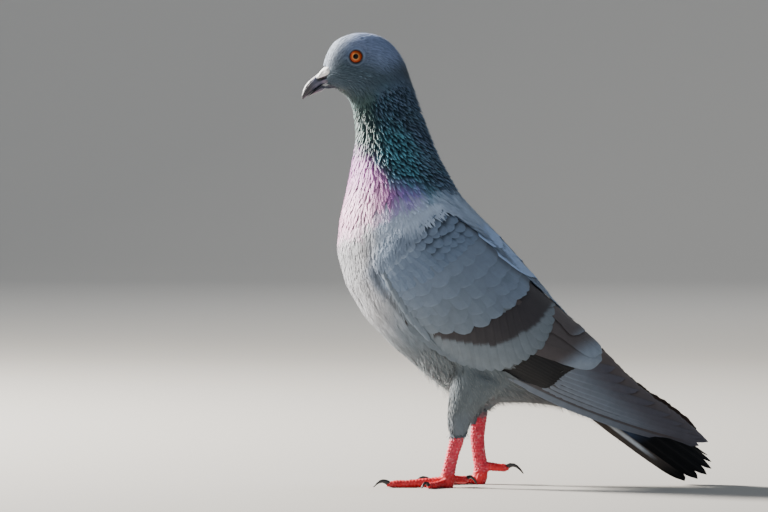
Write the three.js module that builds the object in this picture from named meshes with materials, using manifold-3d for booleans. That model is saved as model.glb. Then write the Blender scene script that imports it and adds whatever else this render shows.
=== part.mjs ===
// A still, life-size model of a feral rock pigeon that stands upright on both feet, wings folded.
// Millimetres, +Z up. The bird faces -X, so its left side is -Y. The ground is Z = 0, and the origin
// lies on it below the middle of the outline. Each named part of the bird is one closed solid.
import * as THREE from "three";
import Module from "manifold-3d";

const wasm = await Module();
wasm.setup();

// Driving dimensions
const GAP = 0.3; // clearance between neighbouring parts
const FULL_TURN = 2 * Math.PI;
const LEFT = -1;
const RIGHT = 1;
const FINENESS = 0.2; // how far a facet may stray from the true surface
const BODY_SIDES = 22; // facets round the trunk, neck and head
const BILL_SIDES = { upper: 10, lower: 8 };
const FINE_TO = 6; // the body section down to which there are two rings for each section
const CUTTER_WIDTH = 160; // wider than the bird, for cuts made from the side

const EYE = { x: -88.4, y: 6.7, z: 253.2, radius: 5.8, sides: 12, rings: 8 };

// Wing shells: how far each stands proud of the body line, and how deep it is let in.
const SHIELD = { proud: 1.6, deep: 3.4, rows: 12, columns: 8 };
const HAND = { proud: -0.2, deep: 2.2, rows: 8, columns: 6 };
// Share of the full thickness left at a wing's rim, and the shares of the wing over which it thins.
const RIM = { left: 0.45, front: 0.12, tip: 0.1, edge: 0.12 };
const WING_GROWTH = { sections: 0.06, degrees: 0.8 }; // what makes a wing 1 mm larger all round
const RIGHT_WINGTIP_RISE = { x: -6, z: 8 }; // the right wing tip lies over the left one

const TAIL = {
  root: { x: 31, z: 82, width: 24, height: 13 },
  tip: { x: 117.5, z: 20.5, width: 40, height: 22 },
  feathers: 12,
  halfArch: 96, // degrees from the ridge to the outermost feather's edge
  thickness: 2.2,
  tipRound: 0.05, // how far a feather's corners fall short of its tip, as a share of length
  middleLong: 0.08, // how far the feathers between the ridge and the edge reach beyond the ridge
  outerShort: 0.045, // how much shorter the outermost feathers are
  groupGap: 0.004, // half the clearance between two groups of feathers, as a share of the arch
  rows: 5,
  columns: 4, // for each feather
};

// Body outline: dorsal and ventral points [x, z] of each section, and its half width.
const BODY = [
  { name: "bill base", dorsal: [-108.6, 246.6], ventral: [-107.1, 234.4], half: 5.0 },
  { name: "forehead", dorsal: [-106.4, 253.6], ventral: [-102.4, 233.9], half: 8.0 },
  { name: "brow", dorsal: [-101.8, 262.0], ventral: [-97.3, 232.0], half: 10.2 },
  { name: "crown", dorsal: [-92.9, 266.4], ventral: [-92.9, 227.8], half: 11.4 },
  { name: "hind crown", dorsal: [-82.3, 267.4], ventral: [-90.6, 222.0], half: 12.3 },
  { name: "occiput", dorsal: [-69.9, 263.1], ventral: [-89.7, 216.2], half: 13.2 },
  { name: "nape", dorsal: [-59.9, 250.2], ventral: [-88.9, 208.6], half: 14.2 },
  { name: "upper neck", dorsal: [-53.7, 231.9], ventral: [-89.2, 201.6], half: 16.0 },
  { name: "mid neck", dorsal: [-46.9, 211.2], ventral: [-91.2, 191.6], half: 19.5 },
  { name: "lower neck", dorsal: [-39.2, 192.6], ventral: [-93.8, 177.4], half: 25.5 },
  { name: "neck base", dorsal: [-32.7, 180.8], ventral: [-98.2, 158.7], half: 32.0 },
  { name: "shoulder", dorsal: [-26.8, 171.1], ventral: [-100.2, 138.7], half: 38.0 },
  { name: "upper breast", dorsal: [-20.4, 164.0], ventral: [-94.7, 118.6], half: 42.0 },
  { name: "breast", dorsal: [-11.5, 155.2], ventral: [-84.1, 100.3], half: 44.0 },
  { name: "keel", dorsal: [-0.3, 143.4], ventral: [-69.3, 84.4], half: 44.5 },
  { name: "mid back", dorsal: [12.7, 128.6], ventral: [-51.6, 69.0], half: 43.5 },
  { name: "loins", dorsal: [25.1, 114.0], ventral: [-35.1, 56.0], half: 41.0 },
  { name: "belly", dorsal: [33.0, 101.0], ventral: [-14.5, 49.5], half: 36.5 },
  { name: "rump", dorsal: [40.0, 88.0], ventral: [6.8, 49.5], half: 30.0 },
  { name: "vent", dorsal: [49.0, 74.0], ventral: [26.8, 48.0], half: 22.0 },
  { name: "tail coverts", dorsal: [58.0, 61.5], ventral: [48.5, 41.5], half: 14.5 },
  { name: "end of coverts", dorsal: [71.5, 47.5], ventral: [66.5, 29.5], half: 10.0 },
];
const NECK_BASE = 10; // index of the first section that the folded wing takes over
const LOINS = 16; // index of the last one

// Behind the loins the folded wing leaves the body line and runs on alone to its tip.
const WING_REAR = [
  { name: "belly", dorsal: [35.1, 102.1], ventral: [-14.5, 49.0], half: 38.0 },
  { name: "rump", dorsal: [46.2, 93.6], ventral: [7.0, 28.3], half: 34.0 },
  { name: "tertial tips", dorsal: [58.4, 82.4], ventral: [26.6, 14.2], half: 28.5 },
  { name: "tail root", dorsal: [69.9, 69.5], ventral: [46.3, 11.2], half: 23.0 },
  { name: "primaries", dorsal: [84.7, 56.6], ventral: [69.3, 10.0], half: 18.0 },
  { name: "outer primaries", dorsal: [99.4, 46.6], ventral: [87.6, 7.1], half: 13.0 },
  { name: "near the tip", dorsal: [111.2, 36.4], ventral: [103.0, 10.0], half: 8.5 },
  { name: "tip", dorsal: [119.3, 28.0], ventral: [116.0, 18.3], half: 4.8 },
];
// The wing's upper and lower edges, in degrees from the dorsal line, at each wing section.
const WING_EDGES = [
  { upper: 60, lower: 118 },
  { upper: 49, lower: 120 },
  { upper: 35, lower: 121 },
  { upper: 32, lower: 124 },
  { upper: 30, lower: 129 },
  { upper: 23, lower: 127 },
  { upper: 14, lower: 120 },
  { upper: 9, lower: 109 },
  { upper: 8, lower: 100 },
  { upper: 8, lower: 95 },
  { upper: 8, lower: 91 },
  { upper: 8, lower: 90 },
  { upper: 8, lower: 90 },
  { upper: 10, lower: 90 },
  { upper: 12, lower: 90 },
];
const WING_FRONT = { upper: 0.55, lower: 1.75 }; // wing sections at which the shield begins
const HAND_START = 6.6; // wing section at which the primaries come out from under the shield
const WING_END = WING_EDGES.length - 1;
const RISE_START = WING_END - 5; // wing section from which the right wing rises over the left one

// Rear edge of the covert and tertial shield, and the tip line of the greater coverts, in side view.
const SHIELD_REAR = [
  [70, 100], [57, 80.5], [54.5, 73.5], [49, 72], [42, 72.5], [31.5, 69],
  [27, 61], [22.5, 58.5], [3, 63.5], [-4, 65], [-4, -20], [160, -20],
];
const COVERT_REAR = [
  [60, 128], [30, 112], [27.5, 106], [26.5, 96], [22, 86], [13, 77.5],
  [4, 71], [-4, 67.5], [-4, -20], [160, -20], [160, 128],
];

// Bill: culmen and lower edge points [x, z] of each section, with its half width.
const BILL_UPPER = [
  { dorsal: [-104.0, 244.0], ventral: [-99.5, 239.2], half: 4.0 },
  { dorsal: [-110.0, 244.0], ventral: [-104.7, 238.0], half: 3.5 },
  { dorsal: [-113.6, 241.3], ventral: [-109.4, 236.6], half: 2.9 },
  { dorsal: [-116.5, 238.8], ventral: [-113.0, 234.2], half: 2.4 },
  { dorsal: [-118.7, 236.0], ventral: [-115.6, 231.9], half: 1.9 },
  { dorsal: [-120.0, 232.9], ventral: [-117.7, 230.4], half: 1.4 },
  { dorsal: [-120.6, 230.0], ventral: [-119.4, 229.0], half: 0.8 },
  { dorsal: [-120.6, 228.4], ventral: [-120.2, 228.1], half: 0.3 },
];
const BILL_LOWER = [
  { dorsal: [-99.5, 238.6], ventral: [-98.5, 233.6], half: 4.4 },
  { dorsal: [-104.7, 237.4], ventral: [-104.0, 233.8], half: 3.6 },
  { dorsal: [-109.4, 236.0], ventral: [-108.6, 233.3], half: 2.8 },
  { dorsal: [-112.9, 233.6], ventral: [-112.7, 232.1], half: 2.1 },
  { dorsal: [-115.4, 231.4], ventral: [-115.8, 230.4], half: 1.4 },
  { dorsal: [-117.2, 229.9], ventral: [-117.6, 229.5], half: 0.5 },
];
// The cere is a pair of swellings, one on each side of the bill's base. They rise towards the eye
// by slope degrees, and spread apart there by spread degrees.
const CERE = {
  x: -107.5,
  y: 2.3,
  z: 244.1,
  length: 5.5,
  width: 2.8,
  height: 2.6,
  slope: 24,
  spread: 16,
  sides: 10,
  rings: 6,
};

// Legs: thigh and tarsus points with fore-and-aft and sideways radii; y is the distance from the middle.
const LEGS = [
  {
    side: LEFT,
    word: "left",
    thigh: [
      { x: -17, y: 25, z: 68, deep: 17, wide: 13 },
      { x: -23, y: 24, z: 55, deep: 12, wide: 11 },
      { x: -27, y: 22.5, z: 46, deep: 8.3, wide: 8 },
      { x: -28.5, y: 21.5, z: 37, deep: 6.8, wide: 6.2 },
      { x: -29.3, y: 21, z: 29.5, deep: 4.4, wide: 4.2 },
    ],
    tarsus: [
      { x: -28.2, y: 21.2, z: 38, deep: 3.5, wide: 2.9 },
      { x: -29.0, y: 21, z: 30, deep: 4.2, wide: 3.2 },
      { x: -31.6, y: 20.4, z: 21, deep: 3.7, wide: 2.9 },
      { x: -34.0, y: 20, z: 11, deep: 3.7, wide: 3.0 },
      { x: -34.8, y: 20, z: 6.0, deep: 4.3, wide: 3.7 },
      { x: -35.2, y: 20, z: 2.6, deep: 4.3, wide: 4.1 },
      { x: -35.4, y: 20, z: -0.8, deep: 3.4, wide: 3.5 },
    ],
    foot: { x: -35.2, y: 20 },
    toes: [
      { name: "hallux", heading: 152, rise: 5.4, droop: 4.3, length: 14, radius: 2.4, claw: 5.8, hook: 3.2 },
      { name: "inner", heading: 27, rise: 2.8, droop: 1.5, length: 22, radius: 2.1, claw: 6.2, hook: 1.6 },
      { name: "middle", heading: -2, rise: 4.0, droop: 2.0, length: 35.5, radius: 2.6, claw: 7.8, hook: 2.0 },
      { name: "outer", heading: -52, rise: 2.8, droop: 1.6, length: 19, radius: 2.2, claw: 5.6, hook: 1.6 },
    ],
  },
  {
    side: RIGHT,
    word: "right",
    thigh: [
      { x: -6, y: 25, z: 68, deep: 16, wide: 13 },
      { x: -11, y: 24, z: 57, deep: 12, wide: 11 },
      { x: -15.5, y: 22.5, z: 49, deep: 8.2, wide: 8 },
      { x: -18, y: 21.5, z: 42, deep: 5.2, wide: 5.4 },
      { x: -18.8, y: 21, z: 35.5, deep: 3.9, wide: 4.2 },
    ],
    tarsus: [
      { x: -14.8, y: 21.4, z: 47, deep: 4.0, wide: 3.3 },
      { x: -15.6, y: 21.2, z: 39.5, deep: 4.4, wide: 3.3 },
      { x: -17.0, y: 20.6, z: 28, deep: 4.1, wide: 3.0 },
      { x: -15.8, y: 20, z: 16, deep: 3.9, wide: 3.0 },
      { x: -14.6, y: 20, z: 9.0, deep: 4.3, wide: 3.6 },
      { x: -15.6, y: 20, z: 3.6, deep: 4.3, wide: 4.1 },
      { x: -16.2, y: 20, z: -0.8, deep: 3.5, wide: 3.6 },
    ],
    foot: { x: -16.2, y: 20 },
    toes: [
      { name: "hallux", heading: 176, rise: 11.2, droop: 9.8, length: 18, radius: 2.6, claw: 8.6, hook: 4.0 },
      { name: "inner", heading: 24, rise: 2.8, droop: 1.5, length: 21, radius: 2.1, claw: 6.2, hook: 1.6 },
      { name: "middle", heading: -6, rise: 3.0, droop: 1.7, length: 31, radius: 2.4, claw: 7.6, hook: 2.0 },
      { name: "outer", heading: -40, rise: 2.8, droop: 1.5, length: 20, radius: 2.1, claw: 5.8, hook: 1.6 },
    ],
  },
];
const TOE = {
  start: 1.5, // how far from the foot's middle a toe begins
  joints: 7,
  pads: 2.5, // swellings along a toe
  swelling: 0.1,
  taper: 0.16,
  round: 0.8, // where along it a toe begins to round off
  blunt: 0.3, // how much of its radius the end loses
  settle: 1.6, // how soon a toe comes down to its droop: the larger, the sooner
};
const CLAW = {
  steps: 5,
  hidden: 1.2, // length inside the toe
  thickness: 0.6, // of the toe's radius
  taper: 0.78,
  flatness: 0.8,
  lift: 0.5, // how far its root lies above the toe's middle
  arch: 1.8,
};
// Facets round a part of the leg, and rings along it
const FACETS = { thigh: [12, 6], tarsus: [10, 9], toe: [8, 6], claw: [6, CLAW.steps] };

// Planes [x, z, dx, dz] that part the body: a point on the plane and its direction towards the tail.
const HEAD_CUT = [-75, 232.2, 0.414, -0.91];
const NECK_CUT = [-63, 167, 0.167, -0.986];
const RUMP_CUT = [28, 66, 0.631, -0.776];

const finish = (color, roughness, metalness = 0) =>
  new THREE.MeshStandardMaterial({ color, roughness, metalness });
const MATERIALS = {
  head: finish(0x66737f, 0.8),
  neck: finish(0x3f6468, 0.5),
  breast: finish(0x9a9c9c, 0.8),
  wing: finish(0x7f8992, 0.8),
  secondaries: finish(0x3a3638, 0.75),
  primaries: finish(0x555b64, 0.7),
  tail: finish(0x2a2d33, 0.7),
  bill: finish(0x3c3840, 0.45),
  cere: finish(0xe9e6e6, 0.7),
  eye: finish(0xd05a14, 0.15),
  leg: finish(0xc4373f, 0.6),
  claw: finish(0x1d1b1c, 0.4),
};

// A closed solid from points and triangles, turned the right way out.
function closedSolid(points, triangles) {
  const build = (faces) =>
    new wasm.Manifold(
      new wasm.Mesh({
        numProp: 3,
        vertProperties: new Float32Array(points.flatMap((p) => [p.x, p.y, p.z])),
        triVerts: new Uint32Array(faces.flat()),
      }),
    );
  const made = build(triangles);
  return made.volume() > 0 ? made : build(triangles.map(([a, b, c]) => [a, c, b]));
}

const ringMiddle = (ring) =>
  ring.reduce((total, p) => total.add(p), new THREE.Vector3()).divideScalar(ring.length);

// Moves the first and last rings outwards along the run of rings.
function pushEnds(rings, distance) {
  for (const [end, beside] of [[rings[0], rings[1]], [rings.at(-1), rings.at(-2)]]) {
    const outwards = ringMiddle(end).sub(ringMiddle(beside)).setLength(distance);
    end.forEach((p) => p.add(outwards));
  }
}

// Joins rings of points into a closed solid, with a fan over each end.
function loft(rings) {
  const sides = rings[0].length;
  const points = rings.flat();
  const triangles = [];
  for (let ring = 0; ring < rings.length - 1; ring++) {
    for (let k = 0; k < sides; k++) {
      const a = ring * sides + k;
      const b = ring * sides + ((k + 1) % sides);
      triangles.push([a, b, a + sides], [b, b + sides, a + sides]);
    }
  }
  const last = (rings.length - 1) * sides;
  points.push(ringMiddle(rings[0]), ringMiddle(rings.at(-1)));
  for (let k = 0; k < sides; k++) {
    const next = (k + 1) % sides;
    triangles.push([points.length - 2, next, k]);
    triangles.push([points.length - 1, last + k, last + next]);
  }
  return closedSolid(points, triangles);
}

// A closed shell between two surfaces, each a function of (u, v) from 0 to 1.
function shell(outer, inner, rows, columns) {
  const points = [];
  for (const surface of [outer, inner]) {
    for (let i = 0; i <= rows; i++) {
      for (let j = 0; j <= columns; j++) points.push(surface(i / rows, j / columns));
    }
  }
  const layer = (rows + 1) * (columns + 1);
  const at = (i, j, side) => side * layer + i * (columns + 1) + j;
  const triangles = [];
  const quad = (a, b, c, d) => triangles.push([a, b, c], [a, c, d]);
  for (let i = 0; i < rows; i++) {
    for (let j = 0; j < columns; j++) {
      quad(at(i, j, 0), at(i, j + 1, 0), at(i + 1, j + 1, 0), at(i + 1, j, 0));
      quad(at(i, j, 1), at(i + 1, j, 1), at(i + 1, j + 1, 1), at(i, j + 1, 1));
    }
    quad(at(i, 0, 0), at(i + 1, 0, 0), at(i + 1, 0, 1), at(i, 0, 1));
    quad(at(i, columns, 0), at(i, columns, 1), at(i + 1, columns, 1), at(i + 1, columns, 0));
  }
  for (let j = 0; j < columns; j++) {
    quad(at(0, j, 0), at(0, j, 1), at(0, j + 1, 1), at(0, j + 1, 0));
    quad(at(rows, j, 0), at(rows, j + 1, 0), at(rows, j + 1, 1), at(rows, j, 1));
  }
  return closedSolid(points, triangles);
}

// A smooth function through rows of numbers, one row for each whole value of its parameter.
function smoothRows(rows) {
  const size = rows[0].length;
  const curve = new THREE.CubicInterpolant(
    rows.map((_, i) => i),
    rows.flat(),
    size,
    new Float64Array(size),
  );
  return (s) => [...curve.evaluate(THREE.MathUtils.clamp(s, 0, rows.length - 1))];
}

// The point of an elliptic section at an angle from its dorsal line, moved out by grow.
function sectionSurface(stations) {
  const rows = stations.map((row) => [...row.dorsal, ...row.ventral, row.half]);
  const at = smoothRows(rows);
  return (s, angle, side, grow) => {
    const [dx, dz, vx, vz, half] = at(s);
    const depth = Math.hypot(dx - vx, dz - vz) / 2;
    const up = Math.cos(angle) * (1 + grow / depth);
    return new THREE.Vector3(
      (dx + vx) / 2 + ((dx - vx) / 2) * up,
      side * Math.sin(angle) * (half + grow),
      (dz + vz) / 2 + ((dz - vz) / 2) * up,
    );
  };
}

// A loft of elliptic sections, with two rings for each section before fineTo.
function sectionLoft(stations, sides, fineTo = 0, grow = 0) {
  const surface = sectionSurface(stations);
  const rings = [];
  for (let s = 0; s < stations.length; s += s < fineTo ? 0.5 : 1) {
    const ring = [];
    for (let k = 0; k < sides; k++) ring.push(surface(s, (FULL_TURN * k) / sides, 1, grow));
    rings.push(ring);
  }
  if (grow > 0) pushEnds(rings, grow);
  return loft(rings);
}

// A limb: elliptic rings square to a smooth path, each with its own two radii.
function limb(path, [sides, steps], grow = 0) {
  const line = new THREE.CatmullRomCurve3(path.map((p) => new THREE.Vector3(p.x, p.y, p.z)));
  const radii = smoothRows(path.map((p) => [p.deep, p.wide]));
  const rings = [];
  for (let i = 0; i <= steps; i++) {
    const share = i / steps;
    const along = line.getTangent(share);
    const across = new THREE.Vector3(-along.z, 0, along.x).normalize();
    const sideways = new THREE.Vector3().crossVectors(along, across).normalize();
    const [deep, wide] = radii(share * (path.length - 1));
    const ring = [];
    for (let k = 0; k < sides; k++) {
      const angle = (FULL_TURN * k) / sides;
      ring.push(
        line
          .getPoint(share)
          .addScaledVector(across, Math.cos(angle) * (deep + grow))
          .addScaledVector(sideways, Math.sin(angle) * (wide + grow)),
      );
    }
    rings.push(ring);
  }
  if (grow > 0) pushEnds(rings, grow);
  return loft(rings);
}

// An egg shape with its poles left and right before it is turned.
function ball(center, radii, { sides, rings: layers }, turn = new THREE.Euler()) {
  const rings = [];
  for (let i = 1; i < layers; i++) {
    const fall = (Math.PI * i) / layers;
    const ring = [];
    for (let k = 0; k < sides; k++) {
      const round = (FULL_TURN * k) / sides;
      const point = new THREE.Vector3(
        radii[0] * Math.sin(fall) * Math.cos(round),
        radii[1] * Math.cos(fall),
        radii[2] * Math.sin(fall) * Math.sin(round),
      );
      ring.push(point.applyEuler(turn).add(center));
    }
    rings.push(ring);
  }
  return loft(rings);
}

// A side-view outline pushed through the whole width of the bird.
function sideCutter(outline, shiftX = 0, shiftZ = 0) {
  const shape = new THREE.Shape(outline.map(([x, z]) => new THREE.Vector2(x + shiftX, z + shiftZ)));
  const prism = new THREE.ExtrudeGeometry(shape, { depth: CUTTER_WIDTH, bevelEnabled: false });
  prism.rotateX(Math.PI / 2);
  prism.translate(0, CUTTER_WIDTH / 2, 0);
  return solidOfGeometry(prism);
}

// A closed solid from a three.js geometry whose faces don't share their corners.
function solidOfGeometry(geometry) {
  const positions = geometry.getAttribute("position");
  const points = [];
  const found = new Map();
  const corner = (i) => {
    const p = new THREE.Vector3().fromBufferAttribute(positions, i);
    const key = p.toArray().map((value) => value.toFixed(4)).join();
    if (!found.has(key)) {
      found.set(key, points.length);
      points.push(p);
    }
    return found.get(key);
  };
  const triangles = [];
  for (let i = 0; i < positions.count; i += 3) triangles.push([corner(i), corner(i + 1), corner(i + 2)]);
  return closedSolid(points, triangles);
}

const without = (solid, ...others) => others.reduce((left, other) => left.subtract(other), solid);

// The two sides of a plane, GAP apart: the part before it and the part behind it.
function parted(solid, [x, z, dx, dz]) {
  const offset = x * dx + z * dz;
  return [
    solid.trimByPlane([-dx, 0, -dz], -offset + GAP / 2),
    solid.trimByPlane([dx, 0, dz], offset + GAP / 2),
  ];
}

// The largest of the pieces into which cuts have left a solid.
function largestPiece(solid) {
  const pieces = solid.decompose();
  return pieces.reduce((best, piece) => (piece.volume() > best.volume() ? piece : best));
}

// Wing
const wingStations = [...BODY.slice(NECK_BASE, LOINS + 1), ...WING_REAR];
const wingSurface = sectionSurface(wingStations);
const wingEdges = smoothRows(WING_EDGES.map((edge) => [edge.upper, edge.lower]));

// A wing shell from one wing section to another, between its upper and lower edges.
function wingShell(side, layer, start, grow) {
  const spread = grow * WING_GROWTH.degrees;
  const point = (u, v, offset) => {
    const first = THREE.MathUtils.lerp(start.upper, start.lower, v) - grow * WING_GROWTH.sections;
    const s = THREE.MathUtils.lerp(first, WING_END, u);
    const [upper, lower] = wingEdges(s);
    const angle = THREE.MathUtils.lerp(upper - spread, lower + spread, v);
    const found = wingSurface(s, THREE.MathUtils.degToRad(angle), side, offset);
    if (side === RIGHT) {
      const rise = THREE.MathUtils.smoothstep(s, RISE_START, WING_END);
      found.x += RIGHT_WINGTIP_RISE.x * rise;
      found.z += RIGHT_WINGTIP_RISE.z * rise;
    }
    return found;
  };
  const rim = (u, v) => {
    const inside = Math.min(u / RIM.front, (1 - u) / RIM.tip, v / RIM.edge, (1 - v) / RIM.edge, 1);
    return THREE.MathUtils.lerp(RIM.left, 1, Math.sin((Math.PI / 2) * inside));
  };
  return shell(
    (u, v) => point(u, v, layer.proud * rim(u, v) + grow),
    (u, v) => point(u, v, -layer.deep * rim(u, v) - grow),
    layer.rows,
    layer.columns,
  );
}

function shieldShell(side, grow) {
  return wingShell(side, SHIELD, WING_FRONT, grow);
}

function handShell(side, grow) {
  return wingShell(side, HAND, { upper: HAND_START, lower: HAND_START }, grow);
}

// A wing's three parts: the coverts, the secondaries behind them, and the primaries under both.
function makeWing(side) {
  const shield = shieldShell(side, 0).subtract(sideCutter(SHIELD_REAR));
  const coverts = largestPiece(shield.subtract(sideCutter(COVERT_REAR)));
  const covertFront = sideCutter(COVERT_REAR, GAP, -GAP);
  const secondaries = largestPiece(shield.intersect(covertFront));
  const shieldRoom = shieldShell(side, GAP).subtract(sideCutter(SHIELD_REAR, GAP, -GAP));
  const primaries = largestPiece(handShell(side, 0).subtract(shieldRoom));
  return { coverts, secondaries, primaries };
}

// Tail: an arch of twelve overlapping feathers with round tips, in three groups of four.
// Its surface: share runs from root to tip, across from the left edge over the ridge to the right.
function tailSurface(share, across, inset) {
  const { root, tip, feathers, tipRound, middleLong, outerShort } = TAIL;
  const place = Math.abs(across * 2 - 1);
  const inFeather = ((across * feathers) % 1) * 2 - 1;
  const longer = middleLong * Math.sin(Math.PI * place) - outerShort * place ** 4;
  const reach = share * (1 + longer - tipRound * inFeather ** 4);
  const angle = THREE.MathUtils.degToRad((across * 2 - 1) * TAIL.halfArch);
  const width = THREE.MathUtils.lerp(root.width, tip.width, reach) / 2 - inset;
  const height = THREE.MathUtils.lerp(root.height, tip.height, reach) - inset;
  const slope = new THREE.Vector2(tip.x - root.x, tip.z - root.z).normalize();
  const drop = height * (1 - Math.cos(angle)) + inset;
  return new THREE.Vector3(
    THREE.MathUtils.lerp(root.x, tip.x, reach) + slope.y * drop,
    Math.sin(angle) * width,
    THREE.MathUtils.lerp(root.z, tip.z, reach) - slope.x * drop,
  );
}

function tailGroup(first, last, grow) {
  const across = (v) => THREE.MathUtils.lerp(first, last, v);
  return shell(
    (u, v) => tailSurface(u, across(v), -grow),
    (u, v) => tailSurface(u, across(v), TAIL.thickness + grow),
    TAIL.rows,
    Math.round((last - first) * TAIL.feathers * TAIL.columns),
  );
}

// Feet are built with the foot's middle at their group's origin and the ground at Z = 0.
// A toe's heading is in degrees from straight ahead, positive towards the bird's middle.
function toeLine(toe, side) {
  const turn = THREE.MathUtils.degToRad(toe.heading);
  return (reach) => ({ x: -Math.cos(turn) * reach, y: -side * Math.sin(turn) * reach });
}

function toePath(toe, side) {
  const at = toeLine(toe, side);
  const path = [];
  for (let i = 0; i <= TOE.joints; i++) {
    const share = i / TOE.joints;
    const pad = 1 + TOE.swelling * Math.cos(FULL_TURN * TOE.pads * share);
    const end = Math.max(0, (share - TOE.round) / (1 - TOE.round));
    const thin = toe.radius * pad * (1 - TOE.taper * share) * (1 - TOE.blunt * end ** 2);
    path.push({
      ...at(THREE.MathUtils.lerp(TOE.start, toe.length, share)),
      z: THREE.MathUtils.lerp(toe.rise, toe.droop, Math.min(1, share * TOE.settle)),
      deep: thin,
      wide: thin,
    });
  }
  return path;
}

function clawPath(toe, side) {
  const at = toeLine(toe, side);
  const path = [];
  for (let i = 0; i <= CLAW.steps; i++) {
    const share = i / CLAW.steps;
    const thin = toe.radius * CLAW.thickness * (1 - CLAW.taper * share);
    path.push({
      ...at(THREE.MathUtils.lerp(toe.length - CLAW.hidden, toe.length + toe.claw, share)),
      z: toe.droop + CLAW.lift + CLAW.arch * Math.sin(Math.PI * share) - toe.hook * share ** 2,
      deep: thin,
      wide: thin * CLAW.flatness,
    });
  }
  return path;
}

// What is left of a solid above the ground.
function onGround(solid) {
  return solid.trimByPlane([0, 0, 1], 0);
}

// One foot: each toe makes room for the foot's ball and the toes before it, and for its own claw.
function makeToes(leg) {
  const made = [];
  let taken = limb(localTarsus(leg), FACETS.tarsus, GAP);
  for (const toe of leg.toes) {
    const line = toePath(toe, leg.side);
    const clawLine = clawPath(toe, leg.side);
    const clawRoom = limb(clawLine, FACETS.claw, GAP);
    const flesh = onGround(without(limb(line, FACETS.toe), taken, clawRoom));
    const claw = onGround(limb(clawLine, FACETS.claw));
    made.push({ name: toe.name, flesh: largestPiece(flesh), claw });
    taken = taken.add(limb(line, FACETS.toe, GAP));
  }
  return made;
}

// The tarsus as seen from the foot's middle.
function localTarsus(leg) {
  return leg.tarsus.map((p) => ({ ...p, x: p.x - leg.foot.x, y: leg.side * (p.y - leg.foot.y) }));
}

const onSide = (path, side) => path.map((p) => ({ ...p, y: side * p.y }));

// Everything in one scene graph
const bird = new THREE.Group();

function addMesh(parent, name, solid, material) {
  const { vertProperties, triVerts, numProp, numVert } = solid.simplify(FINENESS).getMesh();
  const positions = new Float32Array(numVert * 3);
  for (let i = 0; i < numVert; i++) {
    for (let k = 0; k < 3; k++) positions[i * 3 + k] = vertProperties[i * numProp + k];
  }
  const geometry = new THREE.BufferGeometry();
  geometry.setAttribute("position", new THREE.BufferAttribute(positions, 3));
  geometry.setIndex(new THREE.BufferAttribute(new Uint32Array(triVerts), 1));
  geometry.computeVertexNormals();
  const mesh = new THREE.Mesh(geometry, material);
  mesh.name = name;
  parent.add(mesh);
}

const eyeAt = (side) => new THREE.Vector3(EYE.x, side * EYE.y, EYE.z);
const eyeBall = (side, grow = 0) => {
  const radius = EYE.radius + grow;
  return ball(eyeAt(side), [radius, radius, radius], EYE);
};

function makeCere(grow = 0) {
  const { slope, spread } = CERE;
  const lobe = (side) =>
    ball(
      new THREE.Vector3(CERE.x, side * CERE.y, CERE.z),
      [CERE.length + grow, CERE.width + grow, CERE.height + grow],
      CERE,
      new THREE.Euler(0, THREE.MathUtils.degToRad(-slope), THREE.MathUtils.degToRad(side * spread), "ZYX"),
    );
  return lobe(LEFT).add(lobe(RIGHT));
}

// Head, bill and eyes
const billUpperRoom = sectionLoft(BILL_UPPER, BILL_SIDES.upper, 0, GAP);
const billLowerRoom = sectionLoft(BILL_LOWER, BILL_SIDES.lower, 0, GAP);
const billLower = sectionLoft(BILL_LOWER, BILL_SIDES.lower);
addMesh(bird, "bill_upper", sectionLoft(BILL_UPPER, BILL_SIDES.upper), MATERIALS.bill);
addMesh(bird, "bill_lower", without(billLower, billUpperRoom), MATERIALS.bill);
addMesh(bird, "cere", without(makeCere(), billUpperRoom), MATERIALS.cere);
addMesh(bird, "eye_left", eyeBall(LEFT), MATERIALS.eye);
addMesh(bird, "eye_right", eyeBall(RIGHT), MATERIALS.eye);

const wholeBody = sectionLoft(BODY, BODY_SIDES, FINE_TO);
const [headWhole, belowHead] = parted(wholeBody, HEAD_CUT);
const head = without(
  headWhole,
  billUpperRoom,
  billLowerRoom,
  makeCere(GAP),
  eyeBall(LEFT, GAP),
  eyeBall(RIGHT, GAP),
);
addMesh(bird, "head", largestPiece(head), MATERIALS.head);

// Neck, trunk and rump, hollowed where the wings and tail lie
const tailRoom = tailGroup(0, 1, GAP);
const handRooms = [LEFT, RIGHT].map((side) => handShell(side, GAP));
const wingRoom = [shieldShell(LEFT, GAP), shieldShell(RIGHT, GAP), ...handRooms];
const [neckWhole, belowNeck] = parted(belowHead, NECK_CUT);
const [trunkWhole, rumpWhole] = parted(belowNeck, RUMP_CUT);
addMesh(bird, "neck", largestPiece(without(neckWhole, ...wingRoom)), MATERIALS.neck);
const trunk = largestPiece(without(trunkWhole, ...wingRoom, tailRoom));
addMesh(bird, "trunk", trunk, MATERIALS.breast);
addMesh(bird, "rump", largestPiece(without(rumpWhole, ...wingRoom, tailRoom)), MATERIALS.breast);

// Wings; the right one's tip makes room for the left one's
for (const { side, word } of LEGS) {
  const { coverts, secondaries, primaries } = makeWing(side);
  const clear = side === RIGHT ? largestPiece(primaries.subtract(handRooms[0])) : primaries;
  addMesh(bird, `wing_${word}_coverts`, coverts, MATERIALS.wing);
  addMesh(bird, `wing_${word}_secondaries`, secondaries, MATERIALS.secondaries);
  addMesh(bird, `wing_${word}_primaries`, clear, MATERIALS.primaries);
}

// Tail, in three groups of four feathers
["left", "middle", "right"].forEach((word, i) => {
  const group = tailGroup(i / 3 + TAIL.groupGap, (i + 1) / 3 - TAIL.groupGap, 0);
  addMesh(bird, `tail_${word}`, largestPiece(without(group, ...handRooms)), MATERIALS.tail);
});

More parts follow.
